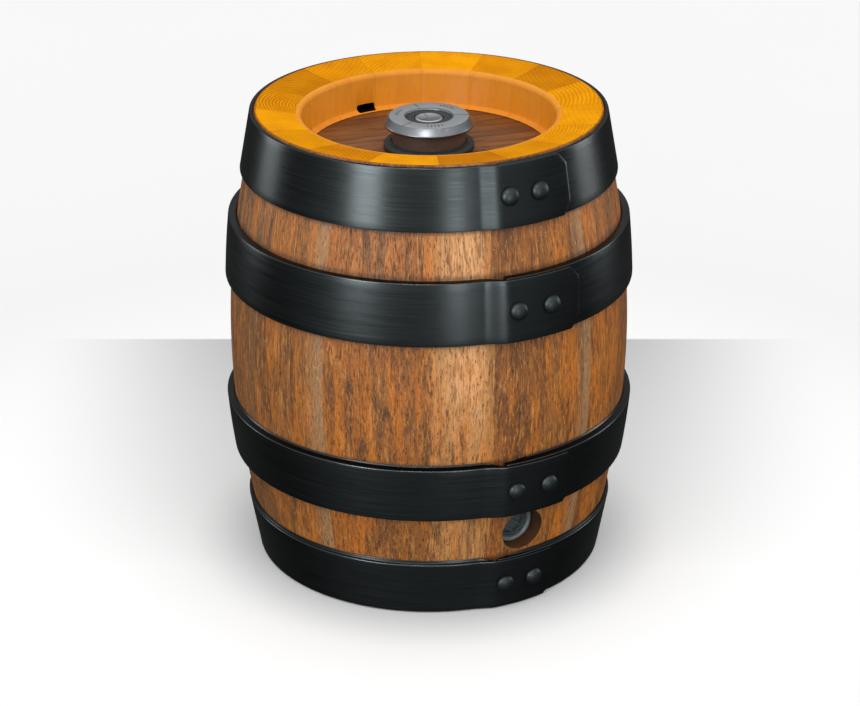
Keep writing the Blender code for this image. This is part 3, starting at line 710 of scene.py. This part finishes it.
def hoop_steel(name):
    """Blackened steel brushed along the band, with a little bare metal along its worn edges."""
    made = Finish(name + "_blackened", metallic=0.95)
    _, _, z = made.parts()
    low, high = hoop_edges(name)
    brushed = made.noise(made.wrapped(30, 2400), 1.0, 3, 0.6)
    long = made.noise(made.wrapped(14, 1000, 2.0), 1.0, 4, 0.65)
    cloud = made.noise(made.place, 26.0, 4, 0.65)
    base = made.mix(brushed, colour(42, 46, 47), colour(52, 57, 58))
    base = made.tint(base, long, 0.42, 0.7, 0.16, (66, 71, 72))
    base = made.tint(base, cloud, 0.45, 0.75, 0.3, (37, 41, 42))
    off = made.math("SUBTRACT", high, z)
    ragged = made.math("MULTIPLY_ADD", made.noise(made.wrapped(300, 300), 1.0, 3), 0.0009, off)
    worn = made.times(made.band(ragged, 0.0007, 0.0013, 0.5, 0), made.band(off, -GAP, 0.0, 0, 1))
    base = made.mix(worn, base, colour(84, 90, 92))
    upward = made.upward()
    # Painted shade: faces that point up are tinted near black, standing in for the dark they would mirror.
    base = made.tint(base, upward, 0.80, 0.93, 1, (9, 10, 10))
    crest = made.times(made.band(z, high + 0.0009, high + 0.0014), made.band(upward, 0.93, 0.8))
    base = made.mix(crest, base, colour(48, 52, 53))
    made.set("Base Color", base)
    rough = made.band(long, 0.3, 0.7, 0.26, 0.36)
    made.set("Roughness", made.math("MULTIPLY_ADD", made.band(brushed, 0.3, 0.7), 0.04, rough))
    made.shader.inputs["Anisotropic"].default_value = 0.6
    made.shader.inputs["Anisotropic Rotation"].default_value = 0.25
    tangent = made.node("ShaderNodeTangent", direction_type="RADIAL", axis="Z").outputs[0]
    made.set("Tangent", tangent)
    made.set("Normal", made.bump(made.math("ADD", brushed, long), 0.000003, 0.5))
    return made.material


def rivet_steel():
    """Blackened domes, scuffed on the crown."""
    made = Finish("rivet_blackened", metallic=0.92)
    scuff = made.noise(made.place, 480.0, 4, 0.7)
    cloud = made.noise(made.place, 90.0, 3)
    base = made.mix(cloud, colour(44, 49, 50), colour(58, 64, 65))
    base = made.tint(base, scuff, 0.60, 0.74, 0.3, (92, 98, 99))
    made.set("Base Color", base)
    made.set("Roughness", made.band(scuff, 0.3, 0.7, 0.42, 0.48))
    made.set("Normal", made.bump(scuff, 0.000003, 0.5))
    return made.material


def machined_steel(name, tone=(176, 180, 184), roughness=0.26, centre=None, metallic=1.0, face=None):
    """Turned stainless steel: fine rings about its own axis, light stains and small scratches. face is
    the tone painted on its level faces where that differs: a painted highlight for the light they mirror."""
    made = Finish(name, roughness=roughness, metallic=metallic)
    around_axis = made.place
    if centre is not None:
        inputs = {"Vector": made.place, "Location": centre[0], "Rotation": centre[1]}
        around_axis = made.node("ShaderNodeMapping", inputs, vector_type="TEXTURE").outputs[0]
    x, y, z = made.parts(around_axis)
    rings = made.joined(made.times(made.length(x, y), 5200), made.times(z, 5200), 0)
    rings = made.noise(rings, 1.0, 2)
    stain = made.noise(around_axis, 60.0, 3, 0.5)
    scratch = made.noise(made.stretched(900, 60, 300, 0.6), 1.0, 3, 0.7, 1.0)
    marks = made.band(scratch, 0.64, 0.69)
    dull = tuple(value * 0.84 for value in tone)
    base = made.mix(made.band(stain, 0.4, 0.75, 0, 0.6), colour(*tone), colour(*dull))
    base = made.mix(made.times(marks, 0.22), base, colour(222, 224, 226))
    # Painted highlight: level faces take the face tone.
    if face:
        base = made.tint(base, made.upward(), 0.90, 0.99, 1, face)
    made.set("Base Color", base)
    rough = made.math("MULTIPLY_ADD", stain, 0.16, roughness - 0.08)
    made.set("Roughness", made.math("MULTIPLY_ADD", marks, 0.1, rough))
    made.set("Normal", made.bump(made.math("MULTIPLY_ADD", marks, -0.6, rings), 0.00003, 0.5))
    return made.material


def drawn_steel(name):
    """Pickled stainless sheet: cloudy, with a faint drawn grain."""
    made = Finish(name, metallic=1.0)
    cloud = made.noise(made.place, 30.0, 4, 0.6)
    grain = made.noise(made.wrapped(420, 40), 1.0, 3)
    base = made.mix(cloud, colour(188, 190, 190), colour(150, 152, 154))
    made.set("Base Color", made.mix(made.band(grain, 0.45, 0.75, 0, 0.4), base, colour(130, 132, 134)))
    made.set("Roughness", made.band(cloud, 0.3, 0.7, 0.30, 0.46))
    made.set("Normal", made.bump(grain, 0.00008, 0.5))
    return made.material


def rubber(name):
    """Matt black rubber: fine grain, dust and a faint moulding bloom."""
    made = Finish(name, roughness=0.62)
    grain = made.noise(made.place, 1500.0, 3, 0.6)
    dust = made.noise(made.place, 140.0, 4, 0.65)
    base = made.mix(made.band(dust, 0.45, 0.75, 0, 0.5), colour(32, 38, 40), colour(50, 56, 58))
    made.set("Base Color", made.mix(made.band(grain, 0.4, 0.7, 0, 0.4), base, colour(24, 28, 30)))
    made.set("Roughness", made.band(dust, 0.3, 0.7, 0.55, 0.74))
    made.set("Normal", made.bump(grain, 0.0001, 0.5))
    return made.material


def insulation():
    """Yellowed polyurethane foam: small cells and a mottled skin."""
    made = Finish("foam_cells", roughness=0.9)
    inputs = {"Vector": made.place, "Scale": 700.0}
    cells = made.node("ShaderNodeTexVoronoi", inputs).outputs[0]
    mottle = made.noise(made.place, 40.0, 4, 0.6)
    base = made.mix(mottle, colour(222, 200, 142), colour(196, 164, 96))
    made.set("Base Color", made.mix(made.band(cells, 0.1, 0.6, 0.35, 0), base, colour(150, 120, 64)))
    made.set("Roughness", made.band(mottle, 0.3, 0.7, 0.8, 0.95))
    made.set("Normal", made.bump(cells, 0.0004, 0.7))
    return made.material


# Pieces

def stave_outline():
    """A stave's outline with the material slot of each of its segments, up the outside first."""
    foot_heights = [0.0008 + (HEIGHT - 0.0016) * k / 30 for k in range(31)]
    rows = [((wood_radius(z), z), SIDE) for z in foot_heights]
    top = wood_radius(HEIGHT)
    rows += [((top - 0.00024, HEIGHT - 0.00024), RIM), ((top - 0.0008, HEIGHT), RIM)]
    inner = (RIM_INNER, HEIGHT - RIM_SLOPE)
    rows += [(((top * (1 - k) + inner[0] * k), HEIGHT - RIM_SLOPE * k), RIM) for k in (0.33, 0.66)]
    rows.append(((inner[0] + 0.0006, inner[1] + 0.0002), WALL))
    bend = arc((inner[0] + 0.0001, inner[1] - 0.0034), 0.0036, 96, 178, 5)
    rows += [(point, WALL) for point in bend]
    rows.append(((CHIME_WALL, HEAD_FACE + 0.0030), WALL))
    rows.append(((CHIME_WALL - 0.0004, HEAD_FACE + 0.0024), LEDGE))
    rows.append(((LEDGE_RADIUS + 0.0003, HEAD_FACE + 0.0009), LEDGE))
    rows.append(((LEDGE_RADIUS, HEAD_FACE + 0.0006), LEDGE))
    rows += [((LEDGE_RADIUS, HEAD_FACE + GAP), SIDE), ((CROZE_RADIUS, HEAD_FACE + GAP), SIDE)]
    rows += [((CROZE_RADIUS, HEAD_FOOT - GAP), SIDE), ((SHOULDER_RADIUS, HEAD_FOOT - GAP), SIDE)]
    rows += [((SHOULDER_RADIUS, HEAD_FOOT - 0.003), SIDE), ((CORNER_RADIUS, HEAD_FOOT - 0.009), SIDE)]
    middle = HEIGHT / 2
    inside = [middle + STRAIGHT_FROM * (1 - k / 6) for k in range(13)]
    rows += [((wood_radius(z) - JACKET_WALL, z), SIDE) for z in inside]
    rows += [((CORNER_RADIUS, BASE_TOP + 0.009), SIDE), ((SHOULDER_RADIUS, BASE_TOP + 0.003), SIDE)]
    rows += [((SHOULDER_RADIUS, BASE_TOP + GAP), SIDE), ((CROZE_RADIUS, BASE_TOP + GAP), SIDE)]
    rows += [((CROZE_RADIUS, BASE_FACE - GAP), LEDGE), ((LEDGE_RADIUS, BASE_FACE - GAP), LEDGE)]
    rows += [((LEDGE_RADIUS, BASE_FACE - 0.0009), LEDGE), ((CHIME_WALL, BASE_FACE - 0.0023), WALL)]
    rows += [((RIM_INNER - 0.0024, 0.005), WALL), ((RIM_INNER, 0.0024), RIM)]
    rows += [((wood_radius(0) - FOOT_FLAT, 0.0), RIM), ((wood_radius(0) - 0.0008, 0.0), SIDE)]
    rows.append(((wood_radius(0) - 0.00024, 0.00024), SIDE))
    return [point for point, _ in rows], [zone for _, zone in rows]


def staves(tap_hole, drain_slot):
    """The sixteen staves, the tap hole through two of them and the drain slot through one."""
    outline, zones = stave_outline()
    outside, wall, ledge, bore, slot = outer_oak(), wall_oak(), ledge_oak(), bore_oak(), slot_oak()
    steps = 9
    for number in range(STAVES):
        start = FIRST_SEAM + number * STAVE_WIDTH + SEAM_GAP / 2
        step = (STAVE_WIDTH - SEAM_GAP) / steps
        mesh = lofted([around(outline, start + step * k) for k in range(steps + 1)], zones=zones)
        name = f"stave_{number + 1:02d}"
        slotted = name == "stave_06"
        cut_finish = slot if slotted else bore
        stave = new_object(name + "_oak", mesh, [outside, rim_oak(number), wall, ledge, cut_finish])
        softened(stave, STAVE_BEVEL)
        if name in ("stave_13", "stave_14"):
            carved(stave, [tap_hole])
        if slotted:
            carved(stave, [drain_slot])
        stands_for(stave, name)


def hoop_edges(name):
    """Heights of a hoop's lower edge and of its upper outer edge."""
    low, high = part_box(name)
    return low.z, high.z - max(HOOPS[name][5], 0.0)


def hoop_section(angle, low, high, inner, outer, top):
    """A hoop's section: inner and outer give the distance outside the wood at its two edges, and
    top the heights of its shelf and crest above its outer edge."""

    def at(offsets, height):
        share = (height - low) / (high - low)
        return wood_radius(height) + offsets[0] + (offsets[1] - offsets[0]) * share

    rows = 8
    face = [low + (high - low) * k / rows for k in range(rows + 1)]
    outline = [(at(outer, z), z) for z in face]
    shelf, crest = high + top[0], high + top[1]
    outline += [(at(inner, shelf) + HOOP_LIP, shelf), (at(inner, crest), crest)]
    outline += [(at(inner, z), z) for z in reversed(face[:-1])]
    corners = (0, rows, rows + 1, rows + 2, 2 * rows + 2)
    return around(rounded(outline, 0.0008, corners=corners), math.radians(angle))


def hoop(name, drain_slot):
    """A lapped hoop: its end steps outwards over its start and is riveted to it."""
    stand_low, stand_high, tongue, tongue_end, *top = HOOPS[name]
    low, high = hoop_edges(name)
    band = (stand_low, stand_high)
    lap_inner = (stand_low + GAP, stand_high + GAP)
    lap_outer = (lap_inner[0] + tongue, lap_inner[1] + tongue)
    against = (GAP, GAP)

    def stepped(share):
        """The section's offsets and top part of the way up the joggle."""
        ease = share * share * (3 - 2 * share)
        pairs = ((against, lap_inner), (band, lap_outer), (top, TONGUE_TOP))
        return [tuple(a + (b - a) * ease for a, b in zip(*pair)) for pair in pairs]

    sections = []
    last = 360 + JOGGLE_START
    for k in range(HOOP_STEPS + 1):
        angle = UNDER_END + (last - UNDER_END) * k / HOOP_STEPS
        share = min((angle - UNDER_END) / UNDER_RUN, 1)
        rise = [a + (b - a) * share for a, b in zip(TONGUE_TOP, top)]
        sections.append(hoop_section(angle, low, high, against, band, rise))
    for k in range(1, JOGGLE_STEPS + 1):
        angle = last + (JOGGLE_END - JOGGLE_START) * k / JOGGLE_STEPS
        sections.append(hoop_section(angle, low, high, *stepped(k / JOGGLE_STEPS)))
    cut_angle = math.degrees(TONGUE_CUT * TONGUE_SLANT / wood_radius((low + high) / 2))
    end = 360 + tongue_end
    first = 360 + JOGGLE_END + 0.3
    for k in range(9):
        angle = first + (end - cut_angle - first) * k / 8
        sections.append(hoop_section(angle, low, high, lap_inner, lap_outer, TONGUE_TOP))
    for k in (1, 2, 3, 4):
        trim = TONGUE_CUT * k / 4
        angle = end - cut_angle + cut_angle * k / 4
        edges = (low + trim, high - trim)
        sections.append(hoop_section(angle, *edges, lap_inner, lap_outer, TONGUE_TOP))
    piece = new_object(name + "_band", lofted(sections), [hoop_steel(name)])
    if low < DRAIN_LOW < high:
        carved(piece, [drain_slot])
    softened(piece, 0.0005, 2, 50)
    stands_for(piece, name)
    return low, high, lap_outer


def rivets(name, low, high, lap_outer, steel):
    """The two domed rivets of a hoop's lap, square to its face."""
    middle = (low + high) / 2
    slope = (wood_radius(high) + lap_outer[1] - wood_radius(low) - lap_outer[0]) / (high - low)
    surface = wood_radius(middle) + (lap_outer[0] + lap_outer[1]) / 2
    tilt = Matrix.Rotation(math.pi / 2 + math.atan(slope), 4, "Y")
    dome = [(0.0, RIVET_RISE)]
    for k in range(1, 15):
        swing = math.radians(84 * k / 14)
        dome.append((RIVET_HEAD * math.sin(swing), 0.0003 + (RIVET_RISE - 0.0003) * math.cos(swing)))
    outline = dome + [(RIVET_HEAD, 0.0001), (RIVET_HEAD - 0.0003, -0.0001), (0.0026, -0.0002)]
    outline += [(0.0026, -0.003), (0.0, -0.003)]
    for number, angle in enumerate(RIVET_ANGLES, 1):
        place = swung(angle) @ Matrix.Translation((surface, 0, middle)) @ tilt
        node = f"{name}_rivet_{number}"
        rivet = new_object(node + "_dome", turned(outline, 48), [steel], place, 60)
        stands_for(rivet, node)


def facing_out(angle, height):
    """From a frame with Z outwards at this angle and height to the keg's."""
    turn = Matrix.Rotation(angle, 4, "Z") @ Matrix.Rotation(math.pi / 2, 4, "Y")
    return Matrix.Translation((0, 0, height)) @ turn


def slot_cutter():
    """The slot that lets water out of the well."""
    tall, wide, corner = DRAIN_HIGH - DRAIN_LOW, DRAIN_WIDTH, 0.0015
    outline = []
    for quarter, (x, y) in enumerate(((1, 1), (-1, 1), (-1, -1), (1, -1))):
        centre = (x * (tall / 2 - corner), y * (wide / 2 - corner))
        outline += arc(centre, corner, 90 * quarter, 90 * quarter + 90, 5)
    mesh = marked(prism(outline, 0.080, 0.150), BORE)
    return new_object("slot_cutter", mesh, place=facing_out(DRAIN_ANGLE, (DRAIN_LOW + DRAIN_HIGH) / 2))


def hole_cutter():
    """The tap hole through the jacket."""
    outline = [(0.0, 0.150), (TAP_HOLE, 0.150), (TAP_HOLE, 0.100), (0.0, 0.100)]
    mesh = marked(turned(outline, 72), BORE)
    return new_object("hole_cutter", mesh, place=facing_out(TAP_ANGLE, TAP_HEIGHT))


def board_outline(low_edge, high_edge, hole):
    """One head board's plan: a slice of the disc, with its share of the neck hole."""
    reach = HEAD_RADIUS
    start, end = math.asin(low_edge / reach), math.asin(high_edge / reach)
    right = [start + (end - start) * k / 24 for k in range(25)]
    outline = [(reach * math.cos(a), reach * math.sin(a)) for a in right]
    outline += bite(high_edge, hole, 1) if 0 < abs(high_edge) < 0.001 else []
    outline += [(-reach * math.cos(a), reach * math.sin(a)) for a in reversed(right)]
    outline += bite(low_edge, hole, -1) if 0 < abs(low_edge) < 0.001 else []
    c, s = math.cos(HEAD_TURN), math.sin(HEAD_TURN)
    return [(x * c - y * s, x * s + y * c) for x, y in outline]


def bite(edge, radius, side):
    """The half circle taken from a board's edge, walking along its outline."""
    if radius == 0:
        return []
    first = math.asin(abs(edge) / radius)
    swings = [first + (math.pi - 2 * first) * k / 36 for k in range(37)]
    return [(side * radius * math.cos(a), -side * radius * math.sin(a)) for a in swings]


def oval_cutters():
    """Two shallow grooves, one oval inside the other."""
    made = []
    for number, (growth, width) in enumerate(((1.0, 0.0008), (0.86, 0.0005))):
        sections = []
        up = Vector((0, 0, 0.001))
        for k in range(96):
            swing = math.tau * k / 96
            x, y = (size * growth for size in OVAL_SIZE)
            out = Matrix.Rotation(HEAD_TURN, 3, "Z") @ Vector((x * math.cos(swing), y * math.sin(swing), 0))
            centre = Vector((*OVAL_CENTRE, HEAD_FACE)) + out
            aside = out.normalized() * width
            sections.append([centre + aside + up, centre - Vector((0, 0, 0.0006)), centre - aside + up])
        made.append(new_object(f"oval_cutter_{number}", lofted(sections, closed=True)))
    return made


def heads():
    """The top head, bored for the neck, and the plain bottom head."""
    cutters = oval_cutters()
    width = HEAD_RADIUS / 2
    for number in range(4):
        low_edge = -HEAD_RADIUS + width * number + HEAD_GAP / 2
        high_edge = low_edge + width - HEAD_GAP
        if number == 0:
            low_edge = -HEAD_RADIUS * math.cos(math.radians(3))
        if number == 3:
            high_edge = HEAD_RADIUS * math.cos(math.radians(3))
        plan = board_outline(low_edge, high_edge, NECK_RADIUS + 0.0005)
        oak = head_oak(f"oak_head_{number + 1}", 0.37 * number)
        board = new_object(f"head_board_{number + 1}_oak", prism(plan, HEAD_FOOT, HEAD_FACE), [oak])
        softened(board, 0.00025)
        carved(board, cutters)
        stands_for(board, f"head_board_{number + 1}")
        plan = board_outline(low_edge, high_edge, 0)
        oak = head_oak(f"oak_base_{number + 1}", 0.53 * number + 2)
        board = new_object(f"base_board_{number + 1}_oak", prism(plan, BASE_FACE, BASE_TOP), [oak])
        softened(board, 0.0003)
        stands_for(board, f"base_board_{number + 1}")
    remove(cutters)


def engraved_steel():
    """The blackened floor of an engraved line."""
    made = Finish("engraved_black", roughness=0.6, metallic=0.6)
    dirt = made.noise(made.place, 900.0, 3, 0.6)
    made.set("Base Color", made.mix(dirt, colour(34, 37, 39), colour(72, 76, 78)))
    made.set("Normal", made.bump(dirt, 0.00005, 0.5))
    return made.material


def groove(name, outline, angle, low, face):
    """A cutter for an engraved line: from its floor to just above the face that it is cut in."""
    mesh = marked(prism(outline, low, face + 0.001), ENGRAVED)
    return new_object(name, mesh, place=swung(angle))


def mark_cutters():
    """Three radial lines across the flange, and short dashes between them."""
    made = []
    low = FLANGE_TOP - 0.0004
    for number, angle in enumerate(MARK_ANGLES):
        line = bar(MOUTH_RADIUS + 0.0004, FLANGE_FLAT + 0.0004, 0.00028)
        made.append(groove(f"flange_line_{number}", line, angle, low, FLANGE_TOP))
        for k in range(5):
            dash = bar(0.0222, 0.0252 if k % 2 else 0.0244, 0.00045)
            made.append(groove(f"dash_{number}_{k}", dash, angle + 38 + 6.5 * k, low, FLANGE_TOP))
    return made


def disc_cutters(top):
    """The radial lines on the valve disc."""
    line = bar(0.0006, CENTRE_RADIUS - 0.0012, 0.00022)
    places = enumerate(MARK_ANGLES)
    return [groove(f"disc_line_{number}", line, angle, top - 0.0008, top) for number, angle in places]


def fitting():
    """The flat-topped fitting with its flange and valve disc."""
    top = FLANGE_TOP
    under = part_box("neck_socket")[1].z + 0.0015
    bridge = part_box("centre_disc")[0].z
    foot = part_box("fitting_body")[0].z
    outline = [
        (MOUTH_RADIUS + 0.0016, top),
        (FLANGE_FLAT, top),
        (FLANGE_RADIUS - 0.0005, top - 0.0044),
        (FLANGE_RADIUS, top - 0.0052),
        (FLANGE_RADIUS - 0.0002, top - 0.0062),
        (FLANGE_RADIUS - 0.0008, under),
        (NECK_BORE - GAP, under),
        (NECK_BORE - GAP, foot),
        (VALVE_BORE, foot),
        (VALVE_BORE, bridge - 0.0022),
        (VALVE_BORE + 0.0012, bridge - 0.0022),
        (VALVE_BORE + 0.0012, bridge - 0.00015),
        (VALVE_BORE, bridge - 0.00015),
        (VALVE_BORE, top - 0.0017),
        (MOUTH_RADIUS, top - 0.0017),
        (MOUTH_RADIUS, top - 0.0010),
    ]
    # The level top's light tone is a painted highlight, and the darker tone of the bevel and sides is
    # painted shade.
    steel = machined_steel("fitting_turned", (126, 130, 134), 0.34, face=(190, 195, 199))
    mesh = turned(rounded(outline, 0.0005), 144)
    body = new_object("fitting_flange", mesh, [steel, engraved_steel()])
    cutters = mark_cutters()
    carved(body, cutters)
    remove(cutters)
    stands_for(body, "fitting_body")
    centre_disc(bridge)


def centre_disc(bridge):
    """The fixed valve disc on its post, with the bridge across the bore."""
    top = FLANGE_TOP - 0.0011
    outline = [(0.0, top - 0.0006), (0.0055, top - 0.0005), (CENTRE_RADIUS - 0.0022, top - 0.0001)]
    outline += [(CENTRE_RADIUS - 0.0016, top), (CENTRE_RADIUS - 0.0010, top - 0.0001)]
    outline += [(CENTRE_RADIUS - 0.0003, top - 0.0006), (CENTRE_RADIUS, top - 0.0012)]
    outline += [(CENTRE_RADIUS, top - 0.0030), (0.0050, top - 0.0050)]
    outline += [(0.0025, top - 0.0060), (0.0025, bridge), (0.0, bridge)]
    steel = machined_steel("disc_turned", (190, 194, 197), 0.22)
    disc = new_object("valve_disc", turned(outline, 96), [steel, engraved_steel()])
    cutters = disc_cutters(top)
    carved(disc, cutters)
    remove(cutters)
    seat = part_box("spring_seat")[0].z
    mesh = prism(rounded(bar(-0.0172, 0.0172, 0.0022), 0.0006), seat - 0.0033, seat - GAP)
    united(disc, [new_object("bridge_bar", mesh, [steel])])
    stands_for(disc, "centre_disc")


def seal_and_neck():
    """The valve seal, the rubber collar and the socket under the fitting."""
    top = FLANGE_TOP - 0.0012
    bore = CENTRE_RADIUS + GAP
    shoulder = FLANGE_TOP - 0.0020
    seal = [(bore, top - 0.0002), (bore + 0.0006, top), (SEAL_RADIUS - 0.0004, top)]
    seal += [(SEAL_RADIUS, top - 0.0003), (SEAL_RADIUS, shoulder), (VALVE_BORE - 0.0004, shoulder)]
    seal += [(VALVE_BORE - 0.0004, top - 0.0034), (bore, top - 0.0034)]
    piece = new_object("valve_seal_rubber", turned(rounded(seal, 0.0003), 96), [rubber("seal_rubber")])
    stands_for(piece, "valve_seal")
    low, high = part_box("neck_socket")[0].z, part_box("neck_socket")[1].z
    socket = [(NECK_RADIUS, high), (NECK_RADIUS, low), (NECK_BORE, low), (NECK_BORE, high)]
    steel = machined_steel("neck_turned", (86, 70, 60), 0.55, None, 0.1)
    piece = new_object("neck_socket_steel", turned(rounded(socket, 0.0006), 96), [steel])
    stands_for(piece, "neck_socket")
    low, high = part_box("neck_collar")[0].z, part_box("neck_collar")[1].z
    inner, outer = NECK_RADIUS + GAP, FLANGE_RADIUS
    collar = [(inner, low), (outer, low), (outer, low + 0.0032), (outer - 0.0016, low + 0.0048)]
    collar = rounded([*collar, (inner, high)], 0.0007, 4, 20)
    piece = new_object("neck_collar_rubber", turned(collar, 96), [rubber("collar_rubber")])
    stands_for(piece, "neck_collar")


def tap():
    """The bush in the tap hole, and the ribbed plug that a tap drives in."""
    place = facing_out(TAP_ANGLE, TAP_HEIGHT)
    centre = (Vector((0, 0, TAP_HEIGHT)), place.to_euler())
    face, back = TAP_FACE, TAP_FACE - 0.0037
    bush = [
        (TAP_BORE, face - 0.0020),
        (TAP_BORE + 0.0010, face - 0.0005),
        (TAP_BORE + 0.0024, face),
        (TAP_FLANGE - 0.0010, face),
        (TAP_FLANGE, face - 0.0010),
        (TAP_FLANGE, back),
        (TAP_BODY, back),
        (TAP_BODY, TAP_FOOT),
        (TAP_BORE, TAP_FOOT),
    ]
    steel = machined_steel("bush_turned", (116, 126, 130), 0.42, centre, 0.55)
    piece = new_object("tap_bush_steel", turned(rounded(bush, 0.0004), 96), [steel], place)
    stands_for(piece, "tap_bush")
    rim = face - 0.0022
    plug = [(0.0, rim - 0.0030), (PLUG_RADIUS - 0.0024, rim - 0.0030)]
    plug += [(PLUG_RADIUS - 0.0014, rim - 0.0002), (PLUG_RADIUS - 0.0012, rim)]
    plug += [(PLUG_RADIUS - 0.0004, rim), (PLUG_RADIUS, rim - 0.0005)]
    plug += [(PLUG_RADIUS, rim - PLUG_DEPTH), (0.0, rim - PLUG_DEPTH)]
    steel = machined_steel("plug_cast", (82, 92, 95), 0.5, centre, 0.5)
    piece = new_object("tap_plug_ribbed", turned(plug, 96), [steel], place)
    ribs = []
    for offset in (-0.0066, 0.0, 0.0066):
        half = math.sqrt((PLUG_RADIUS - 0.0012) ** 2 - offset**2)
        turn = Matrix.Rotation(PLUG_RIB_TURN + math.pi / 2, 4, "Z") @ Matrix.Translation((0, offset, 0))
        mesh = prism(bar(-half, half, 0.0011), rim - 0.0040, rim - 0.0014)
        rib = new_object(f"rib_{len(ribs)}", mesh, [steel], place @ turn)
        ribs.append(softened(rib, 0.0003))
    united(piece, ribs)
    stands_for(piece, "tap_plug")


def inner_parts():
    """Finishes for the CAD nodes that stay: what the jacket and the fitting hide."""
    steel = drawn_steel("vessel_pickled")
    turned_steel = machined_steel("inner_turned", (170, 173, 176), 0.32)
    black = rubber("inner_rubber")
    finishes = {
        "vessel_lower_shell": steel,
        "vessel_upper_shell": steel,
        "foam_jacket": insulation(),
        "neck_gasket": black,
        "retaining_ring": turned_steel,
        "valve_carrier": turned_steel,
        "down_tube": drawn_steel("tube_drawn"),
        "spring_seat": turned_steel,
        "valve_spring": machined_steel("spring_wire", (158, 160, 162), 0.3),
        "tap_washer": black,
    }
    for node, finish in finishes.items():
        obj = frame["nodes"][node]
        for place in obj.material_slots:
            place.material = finish
        if not obj.material_slots:
            obj.data.materials.append(finish)


# Stage

def floor():
    """A wide pale floor with a soft grey patch of painted shadow behind the keg that stops at a straight
    line, and a paler ring of painted light round the keg's foot.
    """
    mesh = bmesh.new()
    corners = bar(-FLOOR_REACH, FLOOR_REACH, FLOOR_REACH)
    mesh.faces.new([mesh.verts.new((x, y, 0)) for x, y in corners])
    made = Finish("floor_card", roughness=0.9, specular=0.0)
    x, y, _ = made.parts()
    # Painted shadow: the grey patch behind the keg, fading aside and stopping at a straight line.
    deep = made.node("ShaderNodeMapRange", {0: y, 1: PATCH_START, 2: PATCH_END, 3: 0.0, 4: 1.0}).outputs[0]
    stop = made.band(y, PATCH_END - 0.002, PATCH_END + 0.002, 1, 0)
    aside = made.band(made.math("ABSOLUTE", x), *PATCH_SIDES, 1, 0)
    share = made.times(made.times(deep, stop), aside)
    cloud = made.noise(made.place, 3.0, 2)
    pale = made.mix(cloud, colour(227, 227, 227), colour(229, 229, 229))
    # Painted light: a paler ring round the keg lifts the shade that the keg casts on the floor.
    from_keg = made.length(x, y)
    near = made.times(made.band(from_keg, 0.13, 0.19), made.band(from_keg, 0.20, 0.60, 1, 0))
    pale = made.mix(near, pale, colour(250, 250, 250))
    made.set("Base Color", made.mix(share, pale, colour(181, 181, 181)))
    piece = new_object("floor", mesh, [made.material])
    piece.visible_glossy = False
    piece.visible_diffuse = False


def softbox(name, size, power, place, turn):
    """A softbox that shows only as a highlight: it is unseen and lights no dull surface."""
    light = bpy.data.lights.new(name, "AREA")
    light.shape = "RECTANGLE"
    light.size, light.size_y = size
    light.energy = power
    lamp = bpy.data.objects.new(name, light)
    bpy.context.scene.collection.objects.link(lamp)
    lamp.location = place
    lamp.rotation_euler = turn
    lamp.visible_camera = False
    lamp.visible_diffuse = False


def high_box():
    """A small softbox high in front that glints on the flange's bevel and on the rivets."""
    place = Vector((-0.14, -0.78, 1.35))
    towards = Vector((0, 0, HEIGHT)) - place
    softbox("high_box", (0.30, 0.22), 4, place, towards.to_track_quat("-Z", "Y").to_euler())


def upright_box(name, azimuth, distance, low, high, width, power):
    """A softbox that stands upright and faces the keg."""
    angle = math.radians(azimuth)
    place = (distance * math.cos(angle), distance * math.sin(angle), (low + high) / 2)
    softbox(name, (width, high - low), power, place, (math.pi / 2, 0, angle + math.pi / 2))


def surroundings():
    """Soft light from above and from the front, dimmer where it is mirrored. What is seen is off-white."""
    world = bpy.data.worlds.new("studio")
    bpy.context.scene.world = world
    world.use_nodes = True
    made = Nodes(world.node_tree, "Generated")
    _, y, z = made.parts()
    above = made.band(z, -0.02, 0.85, 0.0, 1.15)
    front = made.times(made.band(y, 0.2, -0.85, 0.0, 0.85), made.band(z, -0.55, 0.1, 0.35, 1.0))
    glow = made.math("ADD", made.math("ADD", above, front), 0.05)
    light = made.tree.nodes["Background"]
    rays = made.node("ShaderNodeLightPath")
    dimmed = made.math("MULTIPLY_ADD", rays.outputs["Is Glossy Ray"], GLOSS_SHARE - 1.0, 1.0)
    made.feed(light.inputs["Strength"], made.times(glow, dimmed))
    light.inputs["Color"].default_value = (1, 1, 1, 1)
    plain = made.node("ShaderNodeBackground", {"Color": colour(247, 247, 247)}).outputs[0]
    seen = rays.outputs["Is Camera Ray"]
    both = made.node("ShaderNodeMixShader", {0: seen, 1: light.outputs[0], 2: plain}).outputs[0]
    made.feed(made.tree.nodes["World Output"].inputs["Surface"], both)


def studio():
    """The surroundings and the softboxes that the hoops reflect."""
    surroundings()
    high_box()
    for name, measures in SOFTBOXES.items():
        upright_box(name, *measures)
    bpy.context.scene.view_settings.view_transform = "Standard"


def camera():
    """Eye a little under two metres away, looking down by 24 degrees."""
    data = bpy.data.cameras.new("camera")
    data.lens = 114.9
    data.sensor_width = 36
    data.clip_start = 0.05
    eye = bpy.data.objects.new("camera", data)
    bpy.context.scene.collection.objects.link(eye)
    eye.location = (0.0008, -1.881, 0.991)
    eye.rotation_euler = (math.radians(65.91), 0, 0)
    bpy.context.scene.camera = eye


def build():
    camera()
    studio()
    floor()
    tap_hole, drain_slot = hole_cutter(), slot_cutter()
    staves(tap_hole, drain_slot)
    steel = rivet_steel()
    for name in HOOPS:
        low, high, lap_outer = hoop(name, drain_slot)
        rivets(name, low, high, lap_outer, steel)
    remove([tap_hole, drain_slot])
    heads()
    fitting()
    seal_and_neck()
    tap()
    inner_parts()


build()
